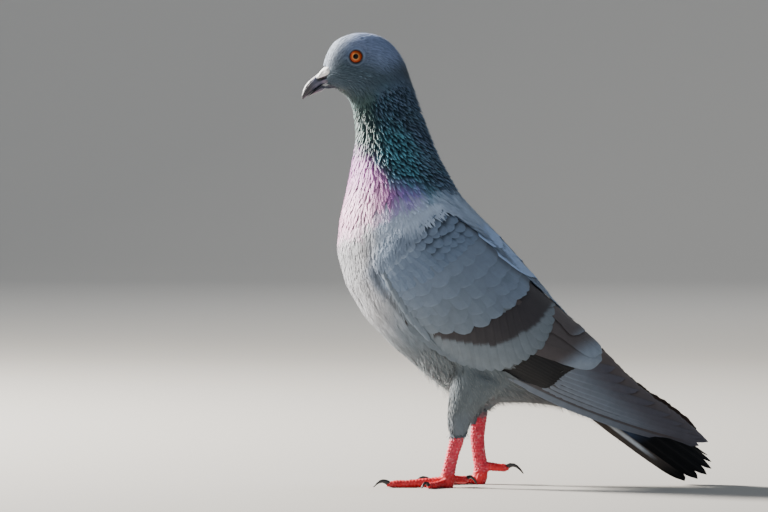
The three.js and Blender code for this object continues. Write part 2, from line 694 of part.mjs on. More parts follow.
// Legs
const bodyRoom = sectionLoft(BODY, BODY_SIDES, FINE_TO, GAP);
for (const leg of LEGS) {
  const { side, word } = leg;
  const thigh = limb(onSide(leg.thigh, side), FACETS.thigh);
  const tarsus = onGround(limb(onSide(leg.tarsus, side), FACETS.tarsus));
  const tarsusRoom = limb(onSide(leg.tarsus, side), FACETS.tarsus, GAP);
  const feathered = without(thigh, bodyRoom, tarsusRoom, ...wingRoom);
  addMesh(bird, `thigh_${word}`, largestPiece(feathered), MATERIALS.breast);
  addMesh(bird, `tarsus_${word}`, largestPiece(without(tarsus, bodyRoom)), MATERIALS.leg);
  const foot = new THREE.Group();
  foot.position.set(leg.foot.x, side * leg.foot.y, 0);
  for (const { name, flesh, claw } of makeToes(leg)) {
    addMesh(foot, `toe_${word}_${name}`, flesh, MATERIALS.leg);
    addMesh(foot, `claw_${word}_${name}`, claw, MATERIALS.claw);
  }
  bird.add(foot);
}

export default bird;
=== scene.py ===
"""A still, life-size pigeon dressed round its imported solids.

One skin lies inside the solids of flesh. Over it lie a coat of small vanes, the wing feathers laid in
rows on a side-view chart of each wing, and the tail feathers. Eyes, lids, bill, cere, feet and claws
are fine meshes made from the solids' own shapes. Lengths here are millimetres until a mesh is made.
"""

import math
from collections import namedtuple

import bmesh
import bpy
import numpy as np
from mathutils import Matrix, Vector
from mathutils.bvhtree import BVHTree
from mathutils.kdtree import KDTree


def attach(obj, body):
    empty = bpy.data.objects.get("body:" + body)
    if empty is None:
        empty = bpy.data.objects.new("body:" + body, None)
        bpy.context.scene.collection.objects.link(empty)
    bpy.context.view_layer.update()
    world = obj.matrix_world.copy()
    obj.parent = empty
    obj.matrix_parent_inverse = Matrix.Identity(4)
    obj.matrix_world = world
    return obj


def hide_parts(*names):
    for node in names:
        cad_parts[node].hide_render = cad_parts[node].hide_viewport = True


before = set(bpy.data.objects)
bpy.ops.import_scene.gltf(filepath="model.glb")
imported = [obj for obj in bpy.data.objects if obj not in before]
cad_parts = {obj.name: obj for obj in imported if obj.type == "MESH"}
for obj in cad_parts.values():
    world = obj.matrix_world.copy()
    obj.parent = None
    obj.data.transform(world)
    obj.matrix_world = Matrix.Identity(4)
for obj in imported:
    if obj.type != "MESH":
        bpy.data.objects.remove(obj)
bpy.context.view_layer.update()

MM = 0.001
SIDES = {"left": -1, "right": 1}
WHOLE_TURN = 2 * math.pi
BARB_UNIT = 0.1  # units of the Vane map to a millimetre
TUFT_PATCH = 0.003  # size of a vane's patch on the OFBake map
TRIES_PER_POINT = 3.0  # how many places are tried for each point that would fit on the form

# --- Places, in millimetres in the frame ---------------------------------------------------------

EYE_CENTRE = np.array([-88.4, 6.7, 253.2])  # y is the distance from the middle
EYE_RADIUS = 5.4
LID_EDGE = 4.4  # radius at which the lids' bare skin ends and the coat begins
BALL_SHARE = 0.62  # share of the half turn from the cornea back over which the eyeball is made
CORNEA_RISE = 0.035  # how far the cornea rises, as a share of the radius
CERE = {"x": -107.5, "z": 244.1, "length": 5.7, "height": 2.8, "slope": math.radians(24)}
NOSTRIL = {"x": -108.8, "z": 240.5, "length": 3.2, "height": 0.95, "slope": 0.30, "depth": 0.9}

# Directions of the lie of the feathers in side view: [x, z, towards x, towards z].
LIE = np.array([
    [-107, 250, 0.30, 0.95], [-101, 262, 0.75, 0.65], [-92, 267, 1.00, 0.15], [-80, 266, 0.95, -0.35],
    [-69, 260, 0.65, -0.76], [-60, 245, 0.55, -0.83], [-52, 225, 0.52, -0.85], [-44, 203, 0.55, -0.83],
    [-34, 183, 0.62, -0.78], [-24, 168, 0.68, -0.74], [0, 143, 0.66, -0.75], [25, 112, 0.70, -0.71],
    [55, 72, 0.76, -0.65], [-100, 240, 0.95, 0.10], [-90, 243, 0.97, -0.25], [-98, 233, 0.90, -0.45],
    [-88, 225, 0.20, -0.98], [-78, 235, 0.66, -0.75], [-68, 218, 0.55, -0.83], [-88, 200, 0.00, -1.0],
    [-68, 195, 0.45, -0.89], [-92, 178, -0.10, -0.99], [-98, 158, -0.05, -1.0], [-100, 138, 0.10, -0.99],
    [-75, 165, 0.05, -1.0], [-55, 176, 0.40, -0.92], [-92, 115, 0.30, -0.95], [-80, 96, 0.55, -0.83],
    [-60, 78, 0.75, -0.66], [-44, 60, 0.45, -0.89], [-28, 45, 0.15, -0.99], [-16, 52, 0.35, -0.93],
    [-5, 50, 0.75, -0.60], [15, 50, 0.95, -0.25], [45, 42, 0.90, -0.42], [66, 30, 0.85, -0.52],
])

LIE_REACH = 5.0  # within about this distance one of those directions rules

# A line through the middle of the body from bill to tail, for the unwrap of the skin's own shape.
SPINE = np.array([
    [-108, 240], [-92, 247], [-78, 236], [-70, 212], [-66, 185],
    [-58, 155], [-35, 115], [0, 82], [35, 68], [70, 38],
])

# Side-view lines [x, z]: the neck's back and front, where its pink begins and ends, where the head
# ends, and the lower edge of the mantle.
NECK_BACK = np.array([[-20, 158], [-27, 171], [-33, 181], [-39, 193], [-47, 211], [-54, 232], [-60, 250]])
NECK_FRONT = np.array([
    [-100, 139], [-98, 159], [-94, 178], [-91, 192], [-89, 202], [-90, 216], [-91, 222],
])
PINK_TOP = np.array([
    [-98, 205], [-92.3, 204], [-82.9, 199.5], [-74.6, 190],
    [-69.9, 182.9], [-60.5, 180.5], [-46.3, 178.2], [-30, 177],
])
PINK_END = np.array([
    [-98.2, 150.5], [-88.8, 154.6], [-80.5, 160.5], [-72.3, 166.4],
    [-61.7, 169.9], [-46.3, 174.1], [-30, 176],
])
HEAD_END = np.array([
    [-93.5, 228.3], [-86.4, 228.9], [-79.4, 231.9], [-71.7, 237.8], [-62.8, 241.3], [-55.8, 239],
])
MANTLE_EDGE = np.array([[-60, 200], [-30, 160], [-10, 132], [0, 120], [25, 88], [60, 50]])

# The wing's side-view chart, in rows of tips [x, z] from the lower edge to the upper one.
WING_FRONT = [[-77, 131], [-74, 138.5], [-68, 148], [-61.5, 156], [-54, 163], [-44, 168.5]]
MEDIAN_TIPS = [
    [-54, 99], [-44, 92], [-34, 92], [-21.5, 92], [-10, 97], [-1, 104], [8, 109.5], [12, 115],
    [15.5, 121.5],
]
GREATER_TIPS = [
    [-51, 89.5], [-40, 80.5], [-28, 73], [-15.5, 69], [-3, 69], [9, 74], [20, 82], [26.5, 94], [28.5, 107],
]
BAR_EDGE = [
    [-51, 97.5], [-43, 88], [-33, 85.3], [-21.5, 83], [-9.5, 83.2], [3, 87.5], [13.5, 94], [20.5, 98.5],
    [26.8, 108],
]
SECONDARY_TIPS = [[25.5, 59.3], [29, 61.5], [32, 65], [36, 68], [41, 70.5], [47, 72.5]]
SECONDARY_ROOTS = [[-20, 78], [0, 98]]
TERTIALS = [
    {"root": [-10, 101], "tip": [56, 75], "width": 17, "outer": 0.5, "bow": -0.03, "pale": 0.24},
    {"root": [-3, 116], "tip": [56, 79], "width": 12, "outer": 0.62, "bow": 0.04, "pale": 0.17},
    {"root": [6, 131], "tip": [45.5, 91.5], "width": 13, "outer": 0.6, "bow": 0.03, "pale": 0.05},
]
PRIMARY_TIPS = [
    [64, 70.5], [70, 64], [78, 57], [87.5, 49.5], [97, 42.5], [105, 37], [111.5, 32.3], [116.5, 28.8],
    [119, 26.3], [113.5, 24],
]
PRIMARY_ROOTS = [[8, 85], [-2, 67.5]]
# The lower edge of the scapulars, which lie over the wing's upper edge.
SCAPULAR_EDGE = [
    [-37, 166.5], [-31, 162.8], [-22.7, 155.2], [-12.7, 145.1], [-0.9, 133.3], [8, 126.9], [15, 120.4],
]
RIM = [[-77, 131], [-68.5, 114.5], [-57, 96.5], [-45, 84.5], [-33.5, 77.5]]  # the wing's lower front edge
WING_EDGE = np.array(RIM[::-1] + WING_FRONT[1:])  # from the lower edge up the wing's front
RIGHT_WINGTIP_RISE = {"from_x": 50, "to_x": 119, "x": -6.5, "z": 7.4}

TAIL = {
    "root": {"x": 31, "z": 82, "width": 24, "height": 19},
    "tip": {"x": 117.5, "z": 20.5, "width": 40, "height": 22},
    "feathers": 12,
    "half_arch": math.radians(96),
    "middle_long": 0.08,
    "outer_short": 0.045,
    "barbs": {"length": 106.0, "width": 120},
}

# The middle of each tarsus: z, then x on each side; and the middle of each foot.
TARSUS_LINE = {
    "z": [2.6, 9, 16, 22, 30, 40],
    "left": [-35.2, -34.3, -33, -31.4, -29, -28],
    "right": [-15.8, -14.6, -15.8, -16.5, -17, -15.6],
}
FOOT_X = {"left": -35.2, "right": -16.2}
FOOT_Y = 20
BARE_BELOW = {"left": 31.5, "right": 43.0}  # the skin is a leg's below this height, and feathered above
FEATHERED_ABOVE = {"left": 28.5, "right": 38.5}  # height where the red of the legs fades out
SHANK_Y = 20.4  # how far the middle of a shank is from the bird's own
PLATES_ROUND = 9  # scales round a shank
PLATE = 1.9  # height of a scale of the shank, and length of one of the toes'
BREAST_END = -45  # x where the coat of the breast ends and that of the rear begins
FLUFF_LOW, FLUFF_HIGH = (-54, 26), (66, 84)  # corners [x, z] of the area with loose wisps
WORN = {"left": 0.28, "right": 0.75}  # how brown the ends of a wing's primaries are

CAMERA = {"x": -0.0723, "distance": 4.5, "height": 0.235, "aim_height": 0.1357, "lens": 357.6}


# --- Colours -------------------------------------------------------------------------------------

def linear(text):
    """The linear colour of an sRGB hex string."""
    parts = np.array([int(text[i:i + 2], 16) for i in (0, 2, 4)]) / 255
    return np.where(parts <= 0.04045, parts / 12.92, ((parts + 0.055) / 1.055) ** 2.4)


INK = {name: linear(text) for name, text in {
    # head and neck
    "crown": "8899bd", "forehead": "a8b3c3", "cheek": "4a5c6a", "nape": "465462", "chin": "525d5c",
    "neck_base_and_gap_shade": "1c2d39", "teal": "5999ad", "green": "335b5a", "pale_throat": "55706b",
    "pink": "b874b6", "rose": "dcaccb", "purple": "8d74bd", "neck_back": "566a84",
    # body
    "breast": "a3a4a9", "shoulder": "b8c7dc", "breast_side": "8896a5", "belly": "5d666c", "vent": "4b4f54",
    "fluff": "c9cac6", "mantle": "9fb0c6", "thigh": "6b747d",
    # wings
    "covert": "6c7b8f", "covert_low": "66727f", "covert_high": "687990", "scapular": "92aacf",
    "bar": "333034", "greater_tip": "69737c", "secondary": "0b0b0f",
    "tertial": "4b4546", "tertial_tip": "8592a2",
    "primary": "6c7480", "primary_brown": "4b474a", "primary_tip": "444c5c", "worn": "5e4638",
    "shaft": "33302f",
    # tail
    "tail_base": "3c4a62", "tail_band": "040406", "tail_web": "c9cfd6", "tail_under": "423b37",
    # bare parts
    "leg": "cc2440", "toe": "d41f28", "leg_pale": "e0a3ac", "leg_deep": "82161f", "claw": "15120f",
    "horn": "4a4c62", "horn_pale_lit": "c4c2c6", "horn_tip": "24222b", "horn_low": "565663", "gape": "8d8488",
    "cere": "f1f1f1", "nostril": "171014",
    "lid": "45464c", "iris": "a23a08", "iris_inner": "bd7c42", "iris_outer": "431404", "pupil": "050404",
    "floor": "a9a6a1",
}.items()}


def blend(a, b, share):
    """a where share is 0 and b where it is 1; share may be an array with one value for each point."""
    share = np.asarray(share, float)
    if share.ndim:
        share = share[..., None]
    return a * (1 - share) + b * share


def layered(ground, *layers):
    """An ink with others laid over it in turn; each layer is an ink's name and its share."""
    colour = INK[ground]
    for name, share in layers:
        colour = blend(colour, INK[name], share)
    return colour


def ramp(value, low, high):
    """A smooth step from 0 at low to 1 at high; low may be the larger one."""
    share = np.clip((np.asarray(value, float) - low) / (high - low), 0, 1)
    return share * share * (3 - 2 * share)


def speckle(points, scale, seed=0.0):
    """Smooth irregular values from about -1 to 1 that vary over scale millimetres."""
    p = np.asarray(points, float) / scale + seed
    x, y, z = p[..., 0], p[..., 1], p[..., 2]
    waves = np.sin(x * 2.1 + 1.7 * np.sin(y * 1.3 + z * 0.9)) + np.sin(y * 2.3 + 1.5 * np.sin(z * 1.7 - x))
    return (waves + np.sin(z * 2.7 + 1.9 * np.sin(x * 1.1 + y * 0.7))) / 3


# --- Meshes --------------------------------------------------------------------------------------

def linked(name, data):
    """A new object in the scene."""
    made = bpy.data.objects.new(name, data)
    bpy.context.scene.collection.objects.link(made)
    return made


def mesh_object(name, points, quads, tint, maps=None):
    """A smooth mesh object from millimetre points and quads, with a colour for each point and UV maps."""
    mesh = bpy.data.meshes.new(name)
    mesh.vertices.add(len(points))
    mesh.vertices.foreach_set("co", (np.asarray(points) * MM).astype(np.float32).ravel())
    quads = np.asarray(quads, np.int32)
    mesh.loops.add(quads.size)
    mesh.loops.foreach_set("vertex_index", quads.ravel())
    mesh.polygons.add(len(quads))
    mesh.polygons.foreach_set("loop_start", np.arange(0, quads.size, quads.shape[1], dtype=np.int32))
    mesh.update(calc_edges=True)
    smoothed(mesh)
    paint(mesh, tint)
    for map_name, uv in (maps or {}).items():
        layer = mesh.uv_layers.new(name=map_name)
        layer.data.foreach_set("uv", np.asarray(uv)[quads.ravel()].astype(np.float32).ravel())
    mesh.validate()
    return linked(name, mesh)


def smoothed(mesh):
    mesh.polygons.foreach_set("use_smooth", np.full(len(mesh.polygons), True))


def paint(mesh, tint):
    """Stores a linear colour for each point of a mesh as its Tint attribute."""
    layer = mesh.attributes.get("Tint") or mesh.attributes.new("Tint", "FLOAT_COLOR", "POINT")
    colours = np.ones((len(mesh.vertices), 4), np.float32)
    colours[:, :3] = np.clip(tint, 0, 1)
    layer.data.foreach_set("color", colours.ravel())


def points_of(mesh):
    """A mesh's points in millimetres and its point normals."""
    points, normals = np.zeros((2, len(mesh.vertices) * 3), np.float32)
    mesh.vertices.foreach_get("co", points)
    mesh.vertex_normals.foreach_get("vector", normals)
    return points.reshape(-1, 3).astype(float) / MM, normals.reshape(-1, 3).astype(float)


def set_points(mesh, points):
    mesh.vertices.foreach_set("co", (points * MM).astype(np.float32).ravel())
    mesh.update()


def joined_nodes(nodes, grow=0.0):
    """A bmesh of several CAD nodes, each grown by that many millimetres."""
    bm = bmesh.new()
    for node in nodes:
        bm.from_mesh(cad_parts[node].data)
    bmesh.ops.remove_doubles(bm, verts=bm.verts, dist=1e-6)
    bm.normal_update()
    for vertex in bm.verts:
        vertex.co += vertex.normal * grow * MM
    return bm


def remeshed(name, nodes, voxel, grow, rounds):
    """One fine closed mesh of several CAD nodes: grown so that their gaps close, and smoothed.

    Returns its object, its points and their normals.
    """
    bm = joined_nodes(nodes, grow)
    mesh = bpy.data.meshes.new(name)
    bm.to_mesh(mesh)
    bm.free()
    made = linked(name, mesh)
    refine(made, voxel, rounds)
    return made, *points_of(made.data)


def refine(made, voxel, rounds):
    """Makes a mesh anew from cubes of a size, and smooths it that many times."""
    remesh = made.modifiers.new("remesh", "REMESH")
    remesh.mode = "VOXEL"
    remesh.voxel_size = voxel * MM
    smooth = made.modifiers.new("smooth", "SMOOTH")
    smooth.factor = 0.5
    smooth.iterations = rounds
    apply_modifiers(made)


def apply_modifiers(made):
    graph = bpy.context.evaluated_depsgraph_get()
    done = bpy.data.meshes.new_from_object(made.evaluated_get(graph))
    made.modifiers.clear()
    old, made.data = made.data, done
    bpy.data.meshes.remove(old)
    smoothed(made.data)


def tree_of(bm):
    tree = BVHTree.FromBMesh(bm)
    bm.free()
    return tree


def nearest(tree, points):
    """The nearest surface points, their normals and their distances, in millimetres."""
    found = [tree.find_nearest(Vector(p * MM)) for p in points]
    places = np.array([f[0] for f in found]).reshape(-1, 3) / MM
    normals = np.array([f[1] for f in found]).reshape(-1, 3)
    return places, normals, np.array([f[3] for f in found]) / MM


def distance_to(tree, points):
    return nearest(tree, points)[2]


def unit(vectors):
    return vectors / np.maximum(np.linalg.norm(vectors, axis=-1, keepdims=True), 1e-9)


def unit_one(vector):
    return unit(np.asarray(vector)[None])[0]


def height_on(line, x):
    """The height of a side-view line at x."""
    return np.interp(x, line[:, 0], line[:, 1])


def place_on(line, z):
    """The x of a side-view line at the height z."""
    return np.interp(z, line[:, 1], line[:, 0])


def spot(points, x, z, wide, high):
    """1 at a place in side view, falling to 0 round it."""
    return np.exp(-((points[:, 0] - x) / wide) ** 2 - ((points[:, 2] - z) / high) ** 2)


# --- The form that the coat lies on --------------------------------------------------------------

FLESH = ["head", "neck", "trunk", "rump", "thigh_left", "thigh_right"]
WING_PARTS = [f"wing_{side}_{part}" for side in SIDES for part in ("coverts", "secondaries", "primaries")]
SHIELD_PARTS = [node for node in WING_PARTS if not node.endswith("primaries")]
TAIL_PARTS = ["tail_left", "tail_middle", "tail_right"]
LEG_PARTS = [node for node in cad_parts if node.startswith(("tarsus", "toe"))]

form, form_points, form_normals = remeshed("form", FLESH + SHIELD_PARTS, voxel=1.5, grow=0.35, rounds=10)
form_bm = bmesh.new()
form_bm.from_mesh(form.data)
form_tree = tree_of(form_bm)
body_tree = tree_of(joined_nodes(FLESH))
wing_tree = tree_of(joined_nodes(WING_PARTS))
bill_tree = tree_of(joined_nodes(["bill_upper", "bill_lower", "cere"]))


def unwrap(points):
    """Where a skin point lies on the unrolled body: round the spine, and along it, both from 0 to 1."""
    flat = points[:, [0, 2]]
    best = np.full(len(points), np.inf)
    along, height = np.zeros((2, len(points)))
    for i in range(len(SPINE) - 1):
        step = SPINE[i + 1] - SPINE[i]
        share = np.clip((flat - SPINE[i]) @ step / (step @ step), 0, 1)
        off = flat - SPINE[i] - share[:, None] * step
        distance = np.hypot(off[:, 0], off[:, 1])
        dorsal = np.array([-step[1], step[0]]) / np.hypot(*step)
        nearer = distance < best
        best = np.where(nearer, distance, best)
        along = np.where(nearer, i + share, along)
        height = np.where(nearer, off @ dorsal, height)
    around = np.arctan2(points[:, 1], height) / WHOLE_TURN + 0.5
    return np.stack([around, along / (len(SPINE) - 1)], -1) * 0.98 + 0.01


def lie_of(points, normals):
    """The direction of the coat at each point: along the surface, from bill to tail."""
    away = points[:, None, [0, 2]] - LIE[None, :, :2]
    weight = 1 / ((away**2).sum(-1) + LIE_REACH**2) ** 2
    flat = (weight[..., None] * LIE[None, :, 2:]).sum(1) / weight.sum(1)[:, None]
    heading = np.stack([flat[:, 0], np.zeros(len(flat)), flat[:, 1]], -1)
    heading -= (heading * normals).sum(-1, keepdims=True) * normals
    return unit(heading)


def spread(spacing_of, wanted, seed):
    """Points spread evenly over the form, with their normals: no two nearer than their spacing."""
    rng = np.random.default_rng(seed)
    mesh = form.data
    mesh.calc_loop_triangles()
    corners = np.zeros(len(mesh.loop_triangles) * 3, np.int32)
    mesh.loop_triangles.foreach_get("vertices", corners)
    corners = corners.reshape(-1, 3)
    corners = corners[wanted(form_points[corners].mean(1))]
    a, b, c = (form_points[corners[:, i]] for i in range(3))
    area = np.linalg.norm(np.cross(b - a, c - a), axis=1) / 2
    gaps = spacing_of(form_points[corners].mean(1))
    chance = area / gaps**2
    tries = int(TRIES_PER_POINT * chance.sum())
    chosen = rng.choice(len(corners), tries, p=chance / chance.sum())
    r1, r2 = np.sqrt(rng.random(tries)), rng.random(tries)
    share = np.stack([1 - r1, r1 * (1 - r2), r1 * r2], -1)[..., None]
    points = (form_points[corners[chosen]] * share).sum(1)
    normals = unit((form_normals[corners[chosen]] * share).sum(1))
    gaps = gaps[chosen]
    keys = np.floor(points / gaps.max()).astype(int)
    steps = (-1, 0, 1)
    cells, kept = {}, []
    for i in range(tries):
        kx, ky, kz = keys[i]
        close = [
            j for dx in steps for dy in steps for dz in steps
            for j in cells.get((kx + dx, ky + dy, kz + dz), ())
        ]
        if close and (((points[close] - points[i]) ** 2).sum(1) < gaps[i] ** 2).any():
            continue
        cells.setdefault((kx, ky, kz), []).append(i)
        kept.append(i)
    return points[kept], normals[kept]


# --- The coat: small vanes -----------------------------------------------------------------------

def grid_quads(count, rows, columns):
    """Quads of count separate grids of rows by columns points."""
    i, j = np.meshgrid(np.arange(rows - 1), np.arange(columns - 1), indexing="ij")
    first = (i * columns + j).ravel()
    one = np.stack([first, first + 1, first + columns + 1, first + columns], -1)
    return (np.arange(count)[:, None, None] * rows * columns + one[None]).reshape(-1, 4)


def vane_object(name, points, quads, tints, bake, barbs):
    """A mesh object of many vanes, with its bake map and the map that its barbs follow."""
    maps = {"OFBake": bake.reshape(-1, 2), "Vane": barbs.reshape(-1, 2)}
    return mesh_object(name, points.reshape(-1, 3), quads, tints.reshape(-1, 3), maps)


def vanes(name, points, normals, heading, look, tint_of, seed):
    """Lays one vane at each point, bent to the form, as one mesh.

    look holds length, width, sink (depth of the root) and lift (height of the tip), each a number or
    an array; camber, round (how far the corners fall back), fray and stray (how far headings wander);
    and where they aren't the usual ones, bend (how far a vane may bend, as a share of its length),
    belly (how pointed it is) and the rows and columns of its grid.
    """
    rng = np.random.default_rng(seed)
    count, rows, columns = len(points), look.get("rows", 4), look.get("columns", 3)
    length = np.broadcast_to(look["length"], count) * rng.uniform(0.85, 1.15, count)
    width = np.broadcast_to(look["width"], count) * rng.uniform(0.88, 1.12, count)
    turn = rng.normal(0, look["stray"], count)[:, None]
    heading = unit(heading * np.cos(turn) + np.cross(normals, heading) * np.sin(turn))
    span = heading * length[:, None]
    reach = points + span
    landed, landed_normals, _ = nearest(form_tree, reach)
    bend = landed - reach
    limit = length[:, None] * np.broadcast_to(look.get("bend", 0.5), count)[:, None]
    bend *= np.minimum(1, limit / np.maximum(np.linalg.norm(bend, axis=1, keepdims=True), 1e-6))

    row = np.linspace(0, 1, rows)[None, :, None]
    u = np.linspace(-1, 1, columns)[None, None, :]
    fray = rng.uniform(-1, 1, (count, 1, columns)) * look["fray"]
    t = row * (1 - look["round"] * np.abs(u) ** 2.2) + fray * ramp(row, 0.4, 1.0)
    body = np.sin(np.pi * np.clip(0.16 + 0.74 * row, 0, 1)) ** look.get("belly", 0.7)
    half = (width[:, None, None] / 2) * body
    tip_out = np.broadcast_to(look["lift"], count) * rng.uniform(0.6, 1.3, count)
    root_in = np.broadcast_to(look["sink"], count)
    height = -root_in[:, None, None] * (1 - t) + tip_out[:, None, None] * t**1.5

    def along_vane(vector, share=1.0):
        return vector[:, None, None, :] * np.asarray(share)[..., None]

    normal = unit(along_vane(normals, 1 - t) + along_vane(landed_normals, t))
    along = unit(along_vane(span) + along_vane(bend * 2, t))
    centre = along_vane(points) + along_vane(span, t) + along_vane(bend, t**2)
    camber = look["camber"] * half * u**2
    places = centre + np.cross(normal, along) * (u * half)[..., None] + normal * (height - camber)[..., None]

    u_of = np.broadcast_to(u, t.shape)
    patch = TUFT_PATCH * np.stack([u_of * 0.5, t - 0.5], -1)
    return vane_object(
        name, places, grid_quads(count, rows, columns), tint_of(points, t, u_of, rng),
        unwrap(points)[:, None, None, :] + patch,
        np.stack([u * half, t * length[:, None, None]], -1) * BARB_UNIT,
    )


def front_share(points):
    """0 at the back of the neck and 1 at its front, for points on the neck."""
    back, front = (place_on(line, points[..., 2]) for line in (NECK_BACK, NECK_FRONT))
    return np.clip((back - points[..., 0]) / (back - front), 0, 1)


def below(points, line, soft):
    """How far below a side-view line each point lies: 0 above it, 1 once soft millimetres below."""
    return ramp(points[..., 2] - height_on(line, points[..., 0]), soft, -soft)


def body_ink(points):
    """The coat's colour at a place on the body: the markings that skin and coat share, with painted shade
    under the throat and along the wing's crease.
    """
    x, z = points[..., 0], points[..., 2]
    front = front_share(points)
    patches = speckle(points, 9.0)
    fine = speckle(points, 2.6, 3.0)
    shifted = points + np.stack([0 * x, 0 * x, 3.5 * fine], -1)

    head = layered(
        "cheek",
        ("crown", ramp(z + 0.25 * x, 222, 240)),
        ("forehead", ramp(x + 0.5 * (262 - z), -90, -103) * ramp(z, 240, 249)),
        ("nape", ramp(x, -76, -62) * ramp(z, 262, 244)),
        ("chin", ramp(x, -91, -99) * ramp(z, 238, 232)),
    )
    # painted shade under the throat, below the bill
    head = head * (1 - 0.35 * ramp(x, -97, -91) * ramp(z, 236, 229))[..., None]

    dull = ramp(front, 0.42, 0.12) + 0.25 * fine + 0.85 * ramp(z, 203, 224)
    teal = layered(
        "teal",
        ("neck_back", np.clip(dull, 0, 1)),
        ("green", np.clip(ramp(front, 0.58, 0.86) + 0.3 * patches, 0, 1)),
        ("pale_throat", ramp(front, 0.62, 0.85) * ramp(z, 196, 210)),
    )
    pink = layered("pink", ("rose", ramp(z, 192, 166) * ramp(front, 0.55, 0.8)))
    pink = blend(INK["purple"], pink, ramp(x, -62, -72))
    neck = blend(teal, pink, below(shifted, PINK_TOP, 8) * ramp(x, -46, -56))

    low = layered(
        "breast_side",
        ("breast", ramp(x, -58, -84)),
        ("shoulder", ramp(x, -84, -70) * ramp(z, 118, 136)),
        ("belly", ramp(z, 112, 74)),
        ("vent", ramp(x, -10, 15)),
        ("thigh", ramp(z, 52, 40) * ramp(x, 0, -8)),
    )
    mantle = layered("mantle", ("neck_back", ramp(z, 176, 190)))
    back = height_on(MANTLE_EDGE, x)
    low = blend(low, mantle, ramp(z, back - 8, back + 6) * ramp(x, -52, -38))
    edge = place_on(WING_EDGE, z)
    near_wing = ramp(x, edge - 14, edge) * ramp(z, 112, 126) * ramp(z, 160, 150)
    low = blend(low, INK["covert_high"], 0.75 * near_wing)
    # painted shade along the crease by the wing's lower front edge
    low = low * (1 - 0.55 * wing_crease_shade(points))[..., None]

    colour = blend(neck, low, below(shifted, PINK_END, 6))
    colour = blend(head, colour, below(points, HEAD_END, 8))
    return colour * (1 + 0.04 * patches)[..., None]


def shade_tint(root_dark, edge_pale, vary):
    """A tint function: dark at the root, paler at the edge, and a little different on each vane."""

    def tint(roots, t, u, rng):
        base = body_ink(roots)[:, None, None, :]
        each = rng.uniform(1 - vary, 1 + vary, (len(roots), 1, 1, 1))
        light = (1 - root_dark) + root_dark * ramp(t, 0.15, 0.75)
        light = light * (1 + edge_pale * np.abs(u) ** 2 * ramp(t, 0.5, 1.0))
        return base * each * light[..., None]

    return tint


def neck_tint(roots, t, u, rng):
    """Hackles: near black at the root and the sides, partly their dark bases and partly painted shade between
    the lobes; bright down the middle, and some much darker.
    """
    base = body_ink(roots)[:, None, None, :]
    front = front_share(roots)
    plain = below(roots, PINK_TOP, 6)
    range_of_mood = (0.48 + 0.25 * ramp(front, 0.5, 0.8)) * (1 - 0.75 * plain)
    mood = 1 + range_of_mood * rng.uniform(-1, 0.75, len(roots))
    # The dark roots and sides are partly the hackles' dark bases and partly painted shade in the gaps between
    # the lobes.
    deep = ((1 - plain) * (1 - 0.35 * ramp(front, 0.6, 0.9)))[:, None, None]
    side = 1 - (0.06 + 0.42 * deep) * np.abs(u) ** 1.5
    tip = base * mood[:, None, None, None] * (side * (1 + 0.30 * ramp(t, 0.70, 1.0)))[..., None]
    dark = blend(base * 0.80, INK["neck_base_and_gap_shade"], deep)
    return blend(dark, tip, ramp(t, 0.36, 0.78))


def wing_crease_shade(points):
    """Painted shade along the crease where the body's coat meets the wing's lower front edge: 1 along it and
    0 away from it.
    """
    off = points[..., 0] - place_on(WING_EDGE, points[..., 2]) + 1.2
    return np.exp(-(off / 1.7) ** 2) * ramp(points[..., 2], 138, 131)


def in_wing(points):
    """Points of the form that the wing covers, less what the body's soft feathers cover.

    Those feathers reach the wing's front edge, and past it above.
    """
    x, z = points[:, 0], points[:, 2]
    near = 0.8 + 2.0 * ramp(x, 20, 40)
    soft = x < place_on(WING_EDGE, z) + 1.1 + 9 * ramp(z, 128, 152)
    return (distance_to(wing_tree, points) < near) & (distance_to(body_tree, points) > 2.0) & ~soft


def to_eye(points):
    return np.hypot(points[:, 0] - EYE_CENTRE[0], points[:, 2] - EYE_CENTRE[2])


def off_parts(points):
    """True where the coat may grow: clear of the eyes, the bill and the cere."""
    x, z = points[:, 0] - CERE["x"], points[:, 2] - CERE["z"]
    along = x * math.cos(CERE["slope"]) + z * math.sin(CERE["slope"])
    over = z * math.cos(CERE["slope"]) - x * math.sin(CERE["slope"])
    cere = (along / CERE["length"]) ** 2 + (over / CERE["height"]) ** 2 < 1
    bill = (distance_to(bill_tree, points) < 0.75) & (points[:, 0] < -106)
    rear = 0.5 * ramp(points[:, 0], EYE_CENTRE[0] - 2, EYE_CENTRE[0] + 2)
    eye = (to_eye(points) < LID_EDGE - rear) & (np.abs(points[:, 1]) > EYE_CENTRE[1])
    return ~(eye | bill | cere)


def is_head(points):
    return (below(points, HEAD_END - (0, 3), 0.1) < 0.5) & off_parts(points)


def is_neck(points):
    above = below(points, HEAD_END, 0.1) > 0.5
    return above & (below(points, PINK_END - (0, 5), 0.1) < 0.5) & ~in_wing(points)


def is_body(points):
    low = below(points, PINK_END, 0.1) > 0.5
    end = 56 + 18 * ramp(points[:, 2], 34, 46)  # further back over the tail's root than below it
    return low & (points[:, 0] < end) & ~in_wing(points)


def is_fluffy(points):
    place = points[:, [0, 2]]
    wanted = (place > FLUFF_LOW).all(1) & (place < FLUFF_HIGH).all(1)
    wanted[wanted] = ~in_wing(points[wanted])
    return wanted


